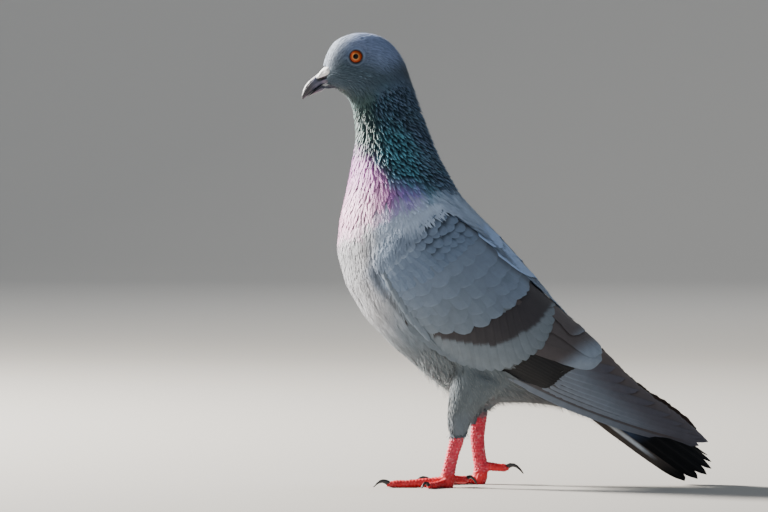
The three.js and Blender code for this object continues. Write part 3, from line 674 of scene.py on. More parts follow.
def clumped(points, heading, size, pull, seed):
    """Gathers vanes into soft feathers of a size, whose vanes lean towards their middle line.

    Returns the new headings, how far each vane is from that line (0 to 1) and a number from -1 to 1
    for its feather.
    """
    rng = np.random.default_rng(seed)
    centres = rng.choice(len(points), max(1, int(len(points) / (size * size * 0.55))), replace=False)
    tree = KDTree(len(centres))
    for number, centre in enumerate(centres):
        tree.insert(points[centre], number)
    tree.balance()
    own = np.array([tree.find(point)[1] for point in points])
    off = points - points[centres[own]]
    along = heading[centres[own]]
    aside = off - (off * along).sum(-1, keepdims=True) * along
    share = np.clip(np.linalg.norm(aside, axis=1) / (size * 0.5), 0, 1)
    return unit(heading * size - aside * pull), share, rng.uniform(-1, 1, len(centres))[own]


def dress_head():
    """Very short vanes, smallest at the bill and round the eyes, with a few pale specks on the cheek."""
    points, normals = spread(lambda p: np.full(len(p), 0.80), is_head, 11)
    to_bill = np.linalg.norm(points - np.array([-106, 0, 242]), axis=1)
    small = ramp(to_bill, 2, 26) * (0.35 + 0.65 * ramp(to_eye(points), 4, 12))
    look = {
        "length": 1.6 + 2.6 * small, "width": 0.72 + 0.38 * small, "sink": 0.35 + 0.65 * small,
        "lift": 0.14 + 0.10 * small, "camber": 0.3, "round": 0.35, "fray": 0.05, "stray": 0.12,
    }
    pale = np.random.default_rng(13).random(len(points)) < 0.14 * spot(points, -87, 241.5, 5, 2.6)
    shade = shade_tint(0.30, 0.10, 0.13)

    def tint(roots, t, u, rng):
        colour = shade(roots, t, u, rng)
        return np.where(pale[:, None, None, None], colour * 1.8, colour)

    return vanes("coat_head", points, normals, lie_of(points, normals), look, tint, 12)


def dress_neck(name, wanted, seed):
    """Hackles: narrow rounded lobes with dark gaps, larger and smoother down the neck."""
    points, normals = spread(lambda p: 1.36 + 0.26 * ramp(p[:, 2], 215, 165), wanted, seed)
    big = ramp(points[:, 2], 236, 190)
    soft = below(points, PINK_TOP, 7)
    calm = (1 - 0.74 * soft) * (1 - 0.45 * ramp(front_share(points), 0.5, 0.8))
    look = {
        "length": 4.6 + 1.6 * big + 1.5 * soft, "width": 1.45 + 0.6 * big + 0.3 * soft,
        "sink": 1.5 - 0.6 * soft, "lift": 0.62 * calm, "camber": (0.55 - 0.42 * soft)[:, None, None],
        "round": 0.22, "fray": 0.05, "stray": 0.17, "belly": 0.6, "rows": 5, "columns": 5,
    }
    return vanes(name, points, normals, lie_of(points, normals), look, neck_tint, seed + 1)


def dress_body(name, wanted, seed):
    """The soft coat of breast, back and belly: fine vanes gathered into feathers."""
    points, normals = spread(lambda p: np.full(len(p), 0.92), wanted, seed)
    heading, aside, mood = clumped(points, lie_of(points, normals), 8.0, 0.25, seed + 1)
    x, z = points[:, 0], points[:, 2]
    thigh = ramp(z, 54, 44) * ramp(x, 15, 5)
    to_tail = ramp(x, 46, 66)
    edge = place_on(WING_EDGE, z)
    over_wing = ramp(x, edge - 4, edge + 2) * ramp(z, 130, 150) * ramp(np.abs(points[:, 1]), 14, 22)
    look = {
        "length": (8.5 - 3.0 * thigh + 8.0 * to_tail) * (1 + 0.35 * thigh * mood),
        "bend": 0.5 - 0.42 * to_tail, "width": 1.8, "sink": 0.9 - 0.5 * over_wing,
        "lift": 0.13 - 0.06 * aside**2 + 0.1 * thigh + 0.9 * over_wing,
        "camber": 0.12, "round": 0.2, "fray": 0.08, "stray": 0.06,
    }
    # each feather's tone differs a little, and its sides are a little darker as painted shade between the
    # soft feathers
    factor = (1 + 0.03 * mood - 0.05 * aside**2)[:, None, None, None]
    shade = shade_tint(0.05, 0.04, 0.04)

    def tint(roots, t, u, rng):
        return shade(roots, t, u, rng) * factor

    return vanes(name, points, normals, heading, look, tint, seed + 2)


def dress_fluff():
    """Loose wisps over belly, thighs and vent, which stand a little out of the coat."""
    points, normals = spread(lambda p: np.full(len(p), 1.35), is_fluffy, 41)
    fringe = spot(points, -40, 56, 6, 8)
    heading, _, _ = clumped(points, lie_of(points, normals), 5.0, 0.5, 43)
    under = ramp(-normals[:, 2], 0.3, 0.8)
    look = {
        "length": 5.0 + 2.5 * fringe + 1.5 * under, "width": 0.45, "sink": 1.4,
        "lift": 0.75 + 2.8 * fringe + 1.8 * under, "camber": 0.2, "round": 0.2, "fray": 0.1, "stray": 0.25,
    }
    shade = shade_tint(0.10, 0.0, 0.08)

    def tint(roots, t, u, rng):
        share = 0.18 + 0.75 * fringe
        return blend(shade(roots, t, u, rng), INK["fluff"], share[:, None, None] * ramp(t, 0.2, 1.0))

    return vanes("coat_wisps", points, normals, heading, look, tint, 42)


# --- Wing feathers on the side-view chart --------------------------------------------------------

class Sheet:
    """How far out a wing's surface lies at each (x, z), from rays shot at its solids from the side."""

    LOW = np.array([-100.0, 0.0])
    SIZE = (232, 195)

    def __init__(self, side, tree):
        self.side = side
        out = np.full(self.SIZE, np.nan)
        for i in range(self.SIZE[0]):
            for j in range(self.SIZE[1]):
                x, z = self.LOW + (i, j)
                hit = tree.ray_cast(Vector((x * MM, side * 0.1, z * MM)), Vector((0, -side, 0)))[0]
                if hit is not None and hit.y * side > 0:
                    out[i, j] = hit.y * side / MM
        hit = ~np.isnan(out)
        columns = np.nonzero(hit.any(1))[0]
        tops = [np.nonzero(hit[i])[0].max() + self.LOW[1] for i in columns]
        past = np.arange(self.SIZE[0]) - columns[-1]
        self.ridge = np.interp(np.arange(self.SIZE[0]), columns, tops) - 1.1 * np.maximum(0, past)
        self.out = self.softened(self.filled(out))

    @staticmethod
    def filled(grid):
        """A grid whose empty cells have the mean of their neighbours, from the full ones outwards."""
        while np.isnan(grid).any():
            total, number = np.zeros_like(grid), np.zeros_like(grid)
            for shift, axis in ((1, 0), (-1, 0), (1, 1), (-1, 1)):
                other = np.roll(grid, shift, axis)
                known = ~np.isnan(other)
                total[known] += other[known]
                number[known] += 1
            grid = np.where(np.isnan(grid) & (number > 0), total / np.maximum(number, 1), grid)
        return grid

    @staticmethod
    def softened(grid, rounds=8):
        for _ in range(rounds):
            padded = np.pad(grid, 1, mode="edge")
            beside = padded[:-2, 1:-1] + padded[2:, 1:-1] + padded[1:-1, :-2] + padded[1:-1, 2:]
            grid = 0.5 * grid + 0.125 * beside
        return grid

    def at(self, x, z):
        """Distance from the middle and outward normal, for arrays of x and z."""
        i = np.clip(x - self.LOW[0], 1, self.SIZE[0] - 3)
        j = np.clip(z - self.LOW[1], 1, self.SIZE[1] - 3)
        i0, j0 = i.astype(int), j.astype(int)
        a, b = i - i0, j - j0
        g = self.out
        rows = [(g[i0 + k, j0] * (1 - b) + g[i0 + k, j0 + 1] * b) for k in (0, 1)]
        columns = [(g[i0, j0 + k] * (1 - a) + g[i0 + 1, j0 + k] * a) for k in (0, 1)]
        y = rows[0] * (1 - a) + rows[1] * a
        normal = unit(np.stack([rows[0] - rows[1], np.ones_like(y), columns[0] - columns[1]], -1))
        return y, normal * np.array([1, self.side, 1])

    def place(self, x, z, height):
        """Points of a feather at height above the wing's surface; past the ridge they turn over it."""
        if self.side > 0:
            rise = ramp(x, RIGHT_WINGTIP_RISE["from_x"], RIGHT_WINGTIP_RISE["to_x"])
            x = x + RIGHT_WINGTIP_RISE["x"] * rise
            z = z + RIGHT_WINGTIP_RISE["z"] * rise
        column = np.clip(x - self.LOW[0], 0, self.SIZE[0] - 1)
        top = np.interp(column, np.arange(self.SIZE[0]), self.ridge) - 0.8
        over = np.maximum(0, z - top)
        y, normal = self.at(x, np.minimum(z, top))
        y = np.maximum(y - over * 1.5, 0.6)
        points = np.stack([x, y * self.side, np.minimum(z, top) - over * 0.15], -1)
        return points + normal * height[..., None]


def along_curve(points, share):
    """The point at a share of a polyline's own parameter, from 0 to 1."""
    points = np.asarray(points, float)
    position = np.clip(share, 0, 1) * (len(points) - 1)
    return np.stack([np.interp(position, np.arange(len(points)), points[:, k]) for k in (0, 1)], -1)


def chart(a, r):
    """A place on the wing: a runs from its lower edge to its upper one, r over the rows of tips.

    r is 0 at the wing's front, 1 at the tips of the median coverts and 2 at those of the greater ones.
    """
    front, median, greater = (along_curve(row, a) for row in (WING_FRONT, MEDIAN_TIPS, GREATER_TIPS))
    return front + (median - front) * min(r, 1) + (greater - median) * max(0, r - 1)


def along_row(r, start, step_at, rng):
    """Places along a row of coverts, about step_at millimetres apart, from its lower end."""
    low, middle, high = chart(0.0, r), chart(0.5, r), chart(1.0, r)
    run = np.hypot(*(middle - low)) + np.hypot(*(high - middle))
    a = start
    while a < 1.03:
        yield a
        a += step_at(a) * rng.uniform(0.85, 1.15) / run


def rounded(t, start, span, power, least):
    """1 up to start and then a round end over span, never less than the root of least."""
    return np.sqrt(np.clip(1 - (np.maximum(0, t - start) / span) ** power, least, 1))


def covert_half(t):
    """Half width of a covert along its length, from 0 to 1: broad, with a round tip."""
    return (0.62 + 0.38 * ramp(t, 0.0, 0.45)) * rounded(t, 0.62, 0.385, 2.4, 0.02)


def flight_half(t):
    """Half width of a flight feather: even, and rounded off over its last tenth."""
    return (0.5 + 0.5 * ramp(t, 0.0, 0.3)) * rounded(t, 0.86, 0.143, 2.6, 0.03)


def pointed_half(t):
    """Half width of a primary: it narrows over its last third to a blunt point."""
    body = (0.5 + 0.5 * ramp(t, 0.0, 0.3)) * (1 - 0.30 * ramp(t, 0.6, 1.0))
    return body * rounded(t, 0.90, 0.103, 2.0, 0.03)


def rotated(vector, degrees):
    turn = math.radians(degrees)
    return np.array([
        vector[0] * math.cos(turn) - vector[1] * math.sin(turn),
        vector[0] * math.sin(turn) + vector[1] * math.cos(turn),
    ])


VANE_COLUMNS = np.array([-1, -0.82, -0.6, -0.35, -0.07, 0, 0.07, 0.35, 0.6, 0.82, 1])

# A feather's points, its (t, u) grid, its chart places, its length and its half width along t.
Feather = namedtuple("Feather", "points t u flat length half")


class Plumes:
    """Makes feathers of equal grids and gathers them into one mesh, each on its own bake patch."""

    def __init__(self, rows, rng):
        self.rows, self.rng = rows, rng
        self.points, self.tints, self.barbs = [], [], []

    def feather(self, place, root, tip, width, outer, half_of, heights, bow=0.0, tilt=0.35):
        """One feather on a chart, whose places the function place takes into space.

        outer is the share of the width on the leading side, where u is negative. heights are those of
        root and tip; tilt lifts the leading edge and lowers the other, as feathers overlap.
        """
        root, tip = np.asarray(root, float), np.asarray(tip, float)
        span = tip - root
        length = np.hypot(*span)
        over = np.array([-span[1], span[0]]) / length
        row = 1 - (1 - np.linspace(0, 1, self.rows)) ** 1.3
        u = VANE_COLUMNS[None]
        half = half_of(row) * width
        wobble = 1 + 0.02 * np.sin(row * 23 + self.rng.uniform(0, 6))
        wobble = wobble + self.rng.uniform(-0.015, 0.015, self.rows)
        offset = u * np.where(u < 0, outer, 1 - outer) * (half * wobble)[:, None]
        t = row[:, None] * (1 - 0.012 * u**2)
        centre = root + span * t[..., None] + over * (bow * length * t * (1 - t) * 4)[..., None]
        flat = centre + over * offset[..., None]
        height = heights[0] + (heights[1] - heights[0]) * t - tilt * u * ramp(t, 0, 0.3)
        ridge = np.exp(-(u / 0.08) ** 2) * 0.22 * (1 - 0.7 * t)
        cup = -0.25 * np.abs(u) ** 2.5
        points = place(flat[..., 0], flat[..., 1], height + ridge + cup)
        return Feather(points, t, np.broadcast_to(u, t.shape), flat, length, half)

    def add(self, made, tint):
        self.points.append(made.points)
        self.tints.append(np.broadcast_to(tint, made.points.shape))
        self.barbs.append(np.stack([made.u * made.half[:, None], made.t * made.length], -1) * BARB_UNIT)

    def build(self, name):
        count, columns = len(self.points), len(VANE_COLUMNS)
        across = math.ceil(math.sqrt(count))
        u, v = np.meshgrid((VANE_COLUMNS + 1) / 2, np.linspace(0, 1, self.rows))
        patch = np.stack([u, v], -1) * 0.86 + 0.07
        bake = np.array([(patch + (i % across, i // across)) * (1 / across) for i in range(count)])
        quads = grid_quads(count, self.rows, columns)
        points, tints, barbs = (np.array(rows) for rows in (self.points, self.tints, self.barbs))
        return vane_object(name, points, quads, tints, bake, barbs)


def shaft(colour, u, strength):
    """Darkens the line of the shaft."""
    return blend(colour, INK["shaft"], strength * np.exp(-(u / 0.06) ** 2))


def covert_tint(made, shown, crisp, base, rng):
    """A grey covert: shaded where the row before it ends and along one side, paler at its rim.

    shown is the share of the feather that shows; crisp, from 0 to 1, is how strongly it is outlined.
    """
    t, u = made.t, made.u
    shadow = ramp(t, 1 - shown + 0.22, 1 - shown - 0.05)
    side = ramp(u, 0.35, 1.0)
    colour = base * rng.uniform(0.985, 1.015) * (1 - (0.03 + 0.57 * crisp) * shadow)[..., None]
    colour = colour * (1 - (0.02 + 0.28 * crisp) * side * ramp(t, 1.0, 0.7))[..., None]
    return colour * (1 + (0.02 + 0.20 * crisp) * ramp(t, 0.86, 1.0))[..., None]


def under_scapulars(made):
    """How much of the light is left on a feather in the shadow along the scapulars' lower edge."""
    x, z = made.flat[..., 0], made.flat[..., 1]
    drop = height_on(np.array(SCAPULAR_EDGE), x) - z
    near = np.exp(-((drop - 0.5) / 2.4) ** 2) * ramp(x, -44, -32)
    return (1 - 0.55 * near)[..., None]


def lesser_coverts(place, plumes):
    """Small scale-like feathers in rows, crisply outlined only high on the wing."""
    rng = plumes.rng
    for r in (0.07, 0.135, 0.20, 0.265, 0.33, 0.395, 0.46):
        for a in along_row(r, rng.uniform(-0.02, 0.02), lambda a: 5.0, rng):
            crisp = ramp(a, 0.48, 0.62) * ramp(r, 0.48, 0.42) * ramp(r, 0.05, 0.14)
            tip = chart(a, r + rng.uniform(-0.022, 0.022) * crisp)
            along = unit_one(tip - chart(a, max(0, r - 0.12)) + 1e-6)
            stray = rng.normal(0, 4 + 7 * crisp)
            along = rotated(along, 10 * ramp(r, 0.7, 0.1) * ramp(a, 0.35, 0.8) + stray)
            length = (8 + 12 * r) * rng.uniform(0.94, 1.06)
            width = 7.8 - rng.uniform(0.0, 2.2) * crisp
            heights = (-0.6 - 0.9 * crisp - 1.6 * ramp(r, 0.33, 0.07), -0.10 + 0.80 * crisp)
            made = plumes.feather(
                place, tip - along * length, tip, width, 0.5, covert_half, heights, tilt=0.02 + 0.22 * crisp,
            )
            base = layered("covert_high", ("shoulder", 0.8 * ramp(r, 0.34, 0.0) * ramp(a, 1.0, 0.5)))
            plumes.add(made, covert_tint(made, 0.5, crisp, base, rng) * under_scapulars(made))


def median_coverts(place, plumes):
    """Large smooth feathers whose edges hardly show, down to the bar."""
    rng = plumes.rng
    for r, step in ((0.56, 9.0), (0.68, 10.0), (0.80, 10.0), (0.90, 9.0), (1.0, 8.0)):

        def ragged_at(a):
            return ramp(a, 0.62, 0.85) * ramp(r, 0.7, 0.9)

        for a in along_row(r, rng.uniform(0.02, 0.06), lambda a: step * (1 - 0.5 * ragged_at(a)), rng):
            ragged = ragged_at(a)
            tip = chart(a, r + 0.02 * ragged * rng.uniform(-1, 1))
            along = unit_one(tip - chart(a, r - 0.12))
            length = (24 - 4 * ragged) * rng.uniform(0.95, 1.05)
            front = ramp(a, 0.30, 0.0)
            made = plumes.feather(
                place, tip - rotated(along, rng.normal(0, 3)) * length * (1 - 0.3 * front), tip,
                step * (1.75 - 0.7 * ragged - 0.6 * front), 0.5, covert_half,
                (-0.75 - 1.8 * front, -0.12 + 0.1 * r), tilt=0.05 + 0.05 * ragged,
            )
            base = layered("covert", ("covert_low", ramp(r, 0.5, 1.0) * ramp(a, 0.9, 0.3)))
            plumes.add(made, covert_tint(made, 0.4, 0.10 + 0.2 * ragged, base, rng) * under_scapulars(made))


def rim_feathers(place, plumes):
    """Narrow coverts that lie along the wing's lower front edge, with a painted highlight on their outer
    webs.
    """
    count = 7
    inward = np.array([0.80, 0.60])
    for i in range(count):
        share = 0.14 + 0.58 * i / (count - 1)
        tip = along_curve(RIM, share) + inward * 1.4
        root = along_curve(RIM, share - 0.30) + inward * 2.2
        made = plumes.feather(place, root, tip, 3.4, 0.45, covert_half, (-1.0, 0.65), tilt=0.20)
        # the outer web is lightened as a painted highlight
        base = INK["covert_low"] * (1 + 0.45 * ramp(made.u, -0.2, -0.9))[..., None]
        plumes.add(made, covert_tint(made, 0.4, 0.1, base, plumes.rng))


def scapulars(place, plumes):
    """Long smooth feathers over the wing's upper edge, with a shadow below them."""
    short, long = 0.46, 0.90
    lanes = (
        (2, ((1.0, short), (0.8, short), (0.6, short))), (1, ((0.97, short), (0.75, short), (0.55, short))),
        (0, ((0.60, 0.56), (1.0, long))),
    )
    for lane, row in lanes:
        for share, reach in row:
            behind, middle, tip = (along_curve(SCAPULAR_EDGE, share - reach * part) for part in (1, 0.5, 0))
            along = unit_one(tip - behind)
            over = np.array([-along[1], along[0]])
            rise = over * (3.6 + 3.8 * lane)
            bow = float((middle - (tip + behind) / 2) @ over) / np.hypot(*(tip - behind))
            made = plumes.feather(
                place, behind + rise * 0.9, tip + rise, 8.5, 0.5, covert_half, (-1.6, 1.0 + 0.15 * lane),
                bow=bow, tilt=-0.15,
            )
            base = INK["scapular"] * (1 + 0.35 * ramp(made.u, -0.75, -1.0) * (lane == 0))[..., None]
            plumes.add(made, covert_tint(made, 0.45, 0.15, base, plumes.rng))


def greater_coverts(place, plumes):
    """The row that carries the brown bar and the pale tips."""
    rng = plumes.rng
    count = 20
    for i in range(count):
        a = (i / (count - 1)) ** 0.95
        tip, bar, median = (along_curve(row, a) for row in (GREATER_TIPS, BAR_EDGE, MEDIAN_TIPS))
        along = rotated(unit_one(tip - median), -4)
        length = 33 - 8 * abs(a - 0.45)
        made = plumes.feather(
            place, tip - along * length, tip, 12.5 - 1.5 * a, 0.5, covert_half, (-1.9, -0.30), bow=-0.02,
            tilt=0.12,
        )
        t, u = made.t, made.u
        pale = np.hypot(*(tip - bar)) * rng.uniform(0.95, 1.06)
        from_tip = (1 - t) * length + 0.9 * np.abs(u) ** 2 + 0.3 * np.sin(u * 9 + i)
        colour = layered("greater_tip", ("bar", ramp(from_tip, pale - 1.2, pale + 1.2)))
        # painted shade on the side that lies under the next feather, and a little painted light on the
        # leading side
        colour = colour * (1 - 0.12 * ramp(u, 0.3, 1.0) + 0.05 * ramp(u, -0.5, -1))[..., None]
        plumes.add(made, shaft(colour * rng.uniform(0.96, 1.04), u, 0.12))


def secondaries(place, plumes):
    """The dark flight feathers that show between the greater coverts and the primaries."""
    count = 13
    for i in range(count):
        a = i / (count - 1)
        made = plumes.feather(
            place, along_curve(SECONDARY_ROOTS, a), along_curve(SECONDARY_TIPS, a), 10.5, 0.32, flight_half,
            (-3.0, -1.5 + 0.25 * a), bow=0.02, tilt=0.16,
        )
        colour = INK["secondary"] * (1 + 0.7 * ramp(made.u, -0.75, -1.0))[..., None]
        plumes.add(made, shaft(colour * plumes.rng.uniform(0.9, 1.12), made.u, 0.3))


def tertials(place, plumes):
    """Three broad brown inner feathers with pale grey tips, one over the other."""
    for i, row in enumerate(TERTIALS):
        made = plumes.feather(
            place, row["root"], row["tip"], row["width"], row["outer"], flight_half,
            (-2.5 + 0.1 * i, -0.15 + 0.3 * i), bow=row["bow"], tilt=0.2,
        )
        t, u = made.t, made.u
        start = 1 - row["pale"] * (1 - 0.35 * u)
        edge = ramp(t, start - 0.05, start + 0.14) * 0.95
        colour = blend(INK["tertial"] * (1 - 0.12 * u[..., None]), INK["tertial_tip"], edge)
        rim = 0.5 * ramp(u, 0.80, 1.0) * ramp(t, 0.45, 0.7)
        plumes.add(made, shaft(blend(colour, INK["tertial_tip"], rim), u, 0.2))


def primaries(place, plumes, worn):
    """Ten long feathers, the innermost on top, each showing its outer web, and more or less worn."""
    count = len(PRIMARY_TIPS)
    for i in reversed(range(count)):
        a = i / (count - 1)
        made = plumes.feather(
            place, along_curve(PRIMARY_ROOTS, a), PRIMARY_TIPS[i], 17 - 6 * a, 0.40 - 0.10 * a, pointed_half,
            (-3.6 + 0.3 * (1 - a), -0.55 + 0.7 * (1 - a)), bow=0.015 - 0.045 * a, tilt=0.16,
        )
        t, u = made.t, made.u
        outer = layered("primary", ("primary_tip", ramp(t, 0.45, 0.95)))
        inner = layered("primary_brown", ("primary_tip", ramp(t, 0.75, 1.0) * a))
        colour = blend(outer, inner, ramp(u, -0.10, 0.10))
        colour = blend(colour, INK["worn"], worn * ramp(t, 0.55, 0.85))
        rim = 0.35 * ramp(u, -0.85, -1.0) * ramp(t, 0.95, 0.5) + 0.10 * ramp(t, 0.93, 1.0)
        colour = colour * (1 + rim)[..., None] * plumes.rng.uniform(0.94, 1.06)
        plumes.add(made, shaft(colour, u, 0.45))


def dress_wing(word):
    """A wing's coverts, and its flight feathers with the row that covers their roots."""
    wing = Sheet(SIDES[word], tree_of(joined_nodes([node for node in WING_PARTS if word in node])))
    back = Sheet(SIDES[word], form_tree)
    rng = np.random.default_rng(60)
    coverts, flight = Plumes(13, rng), Plumes(34, rng)
    for lay in (rim_feathers, lesser_coverts, median_coverts, scapulars):
        lay(back.place, coverts)
    for lay in (greater_coverts, secondaries, tertials):
        lay(wing.place, flight)
    primaries(wing.place, flight, WORN[word])
    return coverts.build(f"wing_coverts_{word}"), flight.build(f"wing_flight_{word}")


# --- Tail ----------------------------------------------------------------------------------------

def tail_point(share, across, inset):
    """A point of the arched tail: share along it, across from the left edge to the right one."""
    root, tip = TAIL["root"], TAIL["tip"]
    place = np.minimum(np.abs(across * 2 - 1), 1.15)
    longer = TAIL["middle_long"] * np.sin(np.pi * np.minimum(place, 1)) - TAIL["outer_short"] * place**4
    reach = share * (1 + longer)
    sizes = ("x", "z", "width", "height")
    x, z, width, height = (root[size] + (tip[size] - root[size]) * reach for size in sizes)
    angle = (across * 2 - 1) * TAIL["half_arch"]
    slope = unit_one([tip["x"] - root["x"], tip["z"] - root["z"]])
    drop = (height - inset) * (1 - np.cos(angle)) + inset
    return np.stack([x + slope[1] * drop, np.sin(angle) * (width / 2 - inset), z - slope[0] * drop], -1)


def dress_tail():
    """Twelve feathers side by side on an arch, dark towards their ends; the outermost have a white web."""
    plumes = Plumes(34, np.random.default_rng(70))
    number, barbs = TAIL["feathers"], TAIL["barbs"]
    for i in range(number):
        middle = (i + 0.5) / number
        place = abs(middle * 2 - 1)
        hand = 1 if middle > 0.5 else -1

        def put(share, spot_across, height):
            return tail_point(share, middle + hand * spot_across, 0.9 + 0.9 * place - height)

        made = plumes.feather(put, (0.0, 0.0), (1.0, 0.0), 0.145, 0.55, pointed_half, (0, 0), tilt=0)
        t, u = made.t, -made.u
        colour = layered("mantle", ("tail_base", ramp(t, 0.38, 0.52)), ("tail_band", ramp(t, 0.54, 0.68)))
        if place > 0.85:
            web = ramp(u, 0.16, 0.08) * ramp(u, -0.24, -0.06) * ramp(t, 0.40, 0.50) * ramp(t, 0.82, 0.66)
            colour = layered("tail_under", ("tail_band", ramp(t, 0.80, 0.95)), ("tail_web", web))
        colour = colour * plumes.rng.uniform(0.92, 1.08)
        # The tail's chart runs from 0 to 1, so the map that the barbs follow gets its millimetres here.
        made = made._replace(length=barbs["length"], half=made.half * barbs["width"])
        plumes.add(made, shaft(colour, u, 0.35))
    return plumes.build("tail_feathers")


# --- Skin ----------------------------------------------------------------------------------------

def make_skin():
    """One closed skin: the body drawn in by the coat's depth, joined to the bare scaly legs."""
    body, points, normals = remeshed("skin", FLESH + SHIELD_PARTS, voxel=1.6, grow=0.35, rounds=8)
    depth = 2.4 - 1.4 * ramp(points[:, 2], 222, 240) - 1.2 * ramp(points[:, 2], 62, 48)
    set_points(body.data, points - normals * depth[:, None])
    refine(body, voxel=1.3, rounds=2)
    legs, points, normals = remeshed("legs", LEG_PARTS, voxel=0.42, grow=0.35, rounds=8)
    scaly = points - normals * 0.22 + normals * leg_scales(points, normals)[:, None]
    scaly[:, 2] = np.maximum(scaly[:, 2], 0)
    set_points(legs.data, scaly)
    join = body.modifiers.new("join", "BOOLEAN")
    join.operation = "UNION"
    join.solver = "MANIFOLD"
    join.object = legs
    apply_modifiers(body)
    bpy.data.objects.remove(legs)
    points, normals = points_of(body.data)
    bare = points[:, 2] < by_side(points, BARE_BELOW)
    paint(body.data, np.where(bare[:, None], leg_ink(points, normals), body_ink(points) * 0.9))
    return body


def by_side(points, values):
    """For each point the value that belongs to its side of the bird."""
    return np.where(points[:, 1] < 0, values["left"], values["right"])


def leg_plates(points):
    """How far each point of a leg lies from the grooves between its scales, and whether it is a toe's."""
    x, y, z = points.T
    middle = by_side(points, {word: np.interp(z, TARSUS_LINE["z"], TARSUS_LINE[word]) for word in SIDES})
    around = np.arctan2(np.abs(y) - SHANK_Y, x - middle) / WHOLE_TURN * PLATES_ROUND
    around = around + 0.30 * speckle(points, 3.0, 1.0)
    rows = z / PLATE + 0.35 * speckle(points, 3.5)
    column = around + 0.5 * (np.floor(rows) % 2)  # each row stands half a scale on
    net = np.minimum(0.5 - np.abs(rows % 1 - 0.5), 0.5 - np.abs(column % 1 - 0.5))
    from_foot = np.hypot(x - by_side(points, FOOT_X), np.abs(y) - FOOT_Y)
    scutes = 0.5 - np.abs(from_foot / PLATE % 1 - 0.5)
    toe = np.maximum(ramp(z, 9, 6), ramp(from_foot, 5.5, 7.5) * ramp(z, 20, 16))
    return np.where(toe > 0.5, scutes, net), toe


def leg_scales(points, normals):
    """Height of the leg's scales: a net of plates round the shank and a row of them along each toe."""
    net, _ = leg_plates(points)
    sole = ramp(normals[:, 2], -0.3, -0.8) * (points[:, 2] < 4)
    rise = 0.30 * ramp(net, 0.0, 0.22) - 0.18 + 0.05 * speckle(points, 0.55)
    return rise * (1 - sole) * ramp(points[:, 2], 0.2, 0.8)


def leg_ink(points, normals):
    """Red scales with pale grooves and flecks, fading into the feathers of the thigh at the top."""
    net, toe = leg_plates(points)
    patches = ramp(speckle(points, 2.6, 8.0), -0.1, 0.7)
    flecks = ramp(speckle(points, 0.8, 5.0), 0.3, 0.8)
    flecks = flecks * (0.15 + 0.6 * patches + 0.3 * ramp(normals[:, 0], 0, 0.9))
    grooves = ramp(net, 0.13, 0.02) * (0.10 + 0.40 * patches)
    pale = np.maximum(grooves, flecks) * (1 - 0.45 * toe)
    colour = layered(
        "leg",
        ("toe", toe),
        ("leg_deep", np.clip(0.45 * speckle(points, 2.2), 0, 0.5)),
        ("leg_pale", np.clip(pale, 0, 0.75)),
    )
    top = by_side(points, FEATHERED_ABOVE) + 2.5 * speckle(points, 1.6, 2.0)
    return blend(colour, INK["thigh"] * 0.7, 0.8 * ramp(points[:, 2], top, top + 2.5))


# --- Eyes, lids, bill, cere, claws ---------------------------------------------------------------

def eye_frame(word, spokes):
    """An eye's centre, the direction in which it looks, and spokes square to that, with their angles."""
    side = SIDES[word]
    axis = unit_one([-0.10, side * 1.0, 0.02])
    first = unit_one(np.cross(axis, [0, 0, 1.0]))
    second = np.cross(axis, first)
    turn = np.linspace(0, WHOLE_TURN, spokes, endpoint=False)
    ring = np.cos(turn)[:, None] * first + np.sin(turn)[:, None] * second
    return EYE_CENTRE * (1, side, 1), axis, ring, turn


def ring_quads(rings, spokes):
    """Quads between closed rings of points."""
    i, k = np.meshgrid(np.arange(rings - 1), np.arange(spokes), indexing="ij")
    after = (k + 1) % spokes
    corners = [i * spokes + k, (i + 1) * spokes + k, (i + 1) * spokes + after, i * spokes + after]
    return np.stack(corners, -1).reshape(-1, 4)


def make_eye(word):
    """A ball with a raised cornea, coloured in rings round its axis."""
    rings, spokes = 49, 64
    centre, axis, ring, turn = eye_frame(word, spokes)
    fall = (np.linspace(0, 1, rings) ** 1.1) * math.pi * BALL_SHARE
    bulge = EYE_RADIUS * (1 + CORNEA_RISE * ramp(fall, 0.75, 0.0))
    out = (np.sin(fall) * bulge)[:, None, None]
    points = centre + axis * (np.cos(fall) * bulge)[:, None, None] + ring[None] * out
    radius, angle = np.broadcast_arrays((np.sin(fall) * EYE_RADIUS)[:, None], turn[None, :])
    streak = 0.5 + 0.5 * np.sin(angle * 31 + 2.0 * np.sin(angle * 7)) * np.sin(angle * 13 + 1.0)
    colour = layered(
        "iris_inner",
        ("iris", ramp(radius, 1.7, 2.7)),
        ("iris_outer", ramp(radius, 2.9, 3.7) + 0.2 * streak * ramp(radius, 1.5, 3.0)),
        ("pupil", ramp(radius, 1.66, 1.42)),
        ("pupil", ramp(radius, 3.55, 3.8)),
    )
    quads = ring_quads(rings, spokes)
    return mesh_object(f"eyeball_{word}", points.reshape(-1, 3), quads, colour.reshape(-1, 3))


def depth_on_form(ring, centre, axis):
    """How far out along the eye's axis the form lies at each point of a ring."""
    hits = [form_tree.ray_cast(Vector((point + axis * 9) * MM), Vector(-axis))[0] for point in ring]
    return (np.array(hits) / MM - centre) @ axis


# Rings of the lids, as [radius, lift]: two rolls on the eyeball, then a skirt that goes down to the form.
LID_ROLLS = [[3.70, -0.15], [3.82, 0.12], [3.95, 0.25], [4.10, 0.24], [4.24, 0.10]]
LID_SKIRT = [[4.42, 0.16], [4.65, 0.14], [5.00, -0.05], [5.50, -0.40], [6.20, -1.00]]


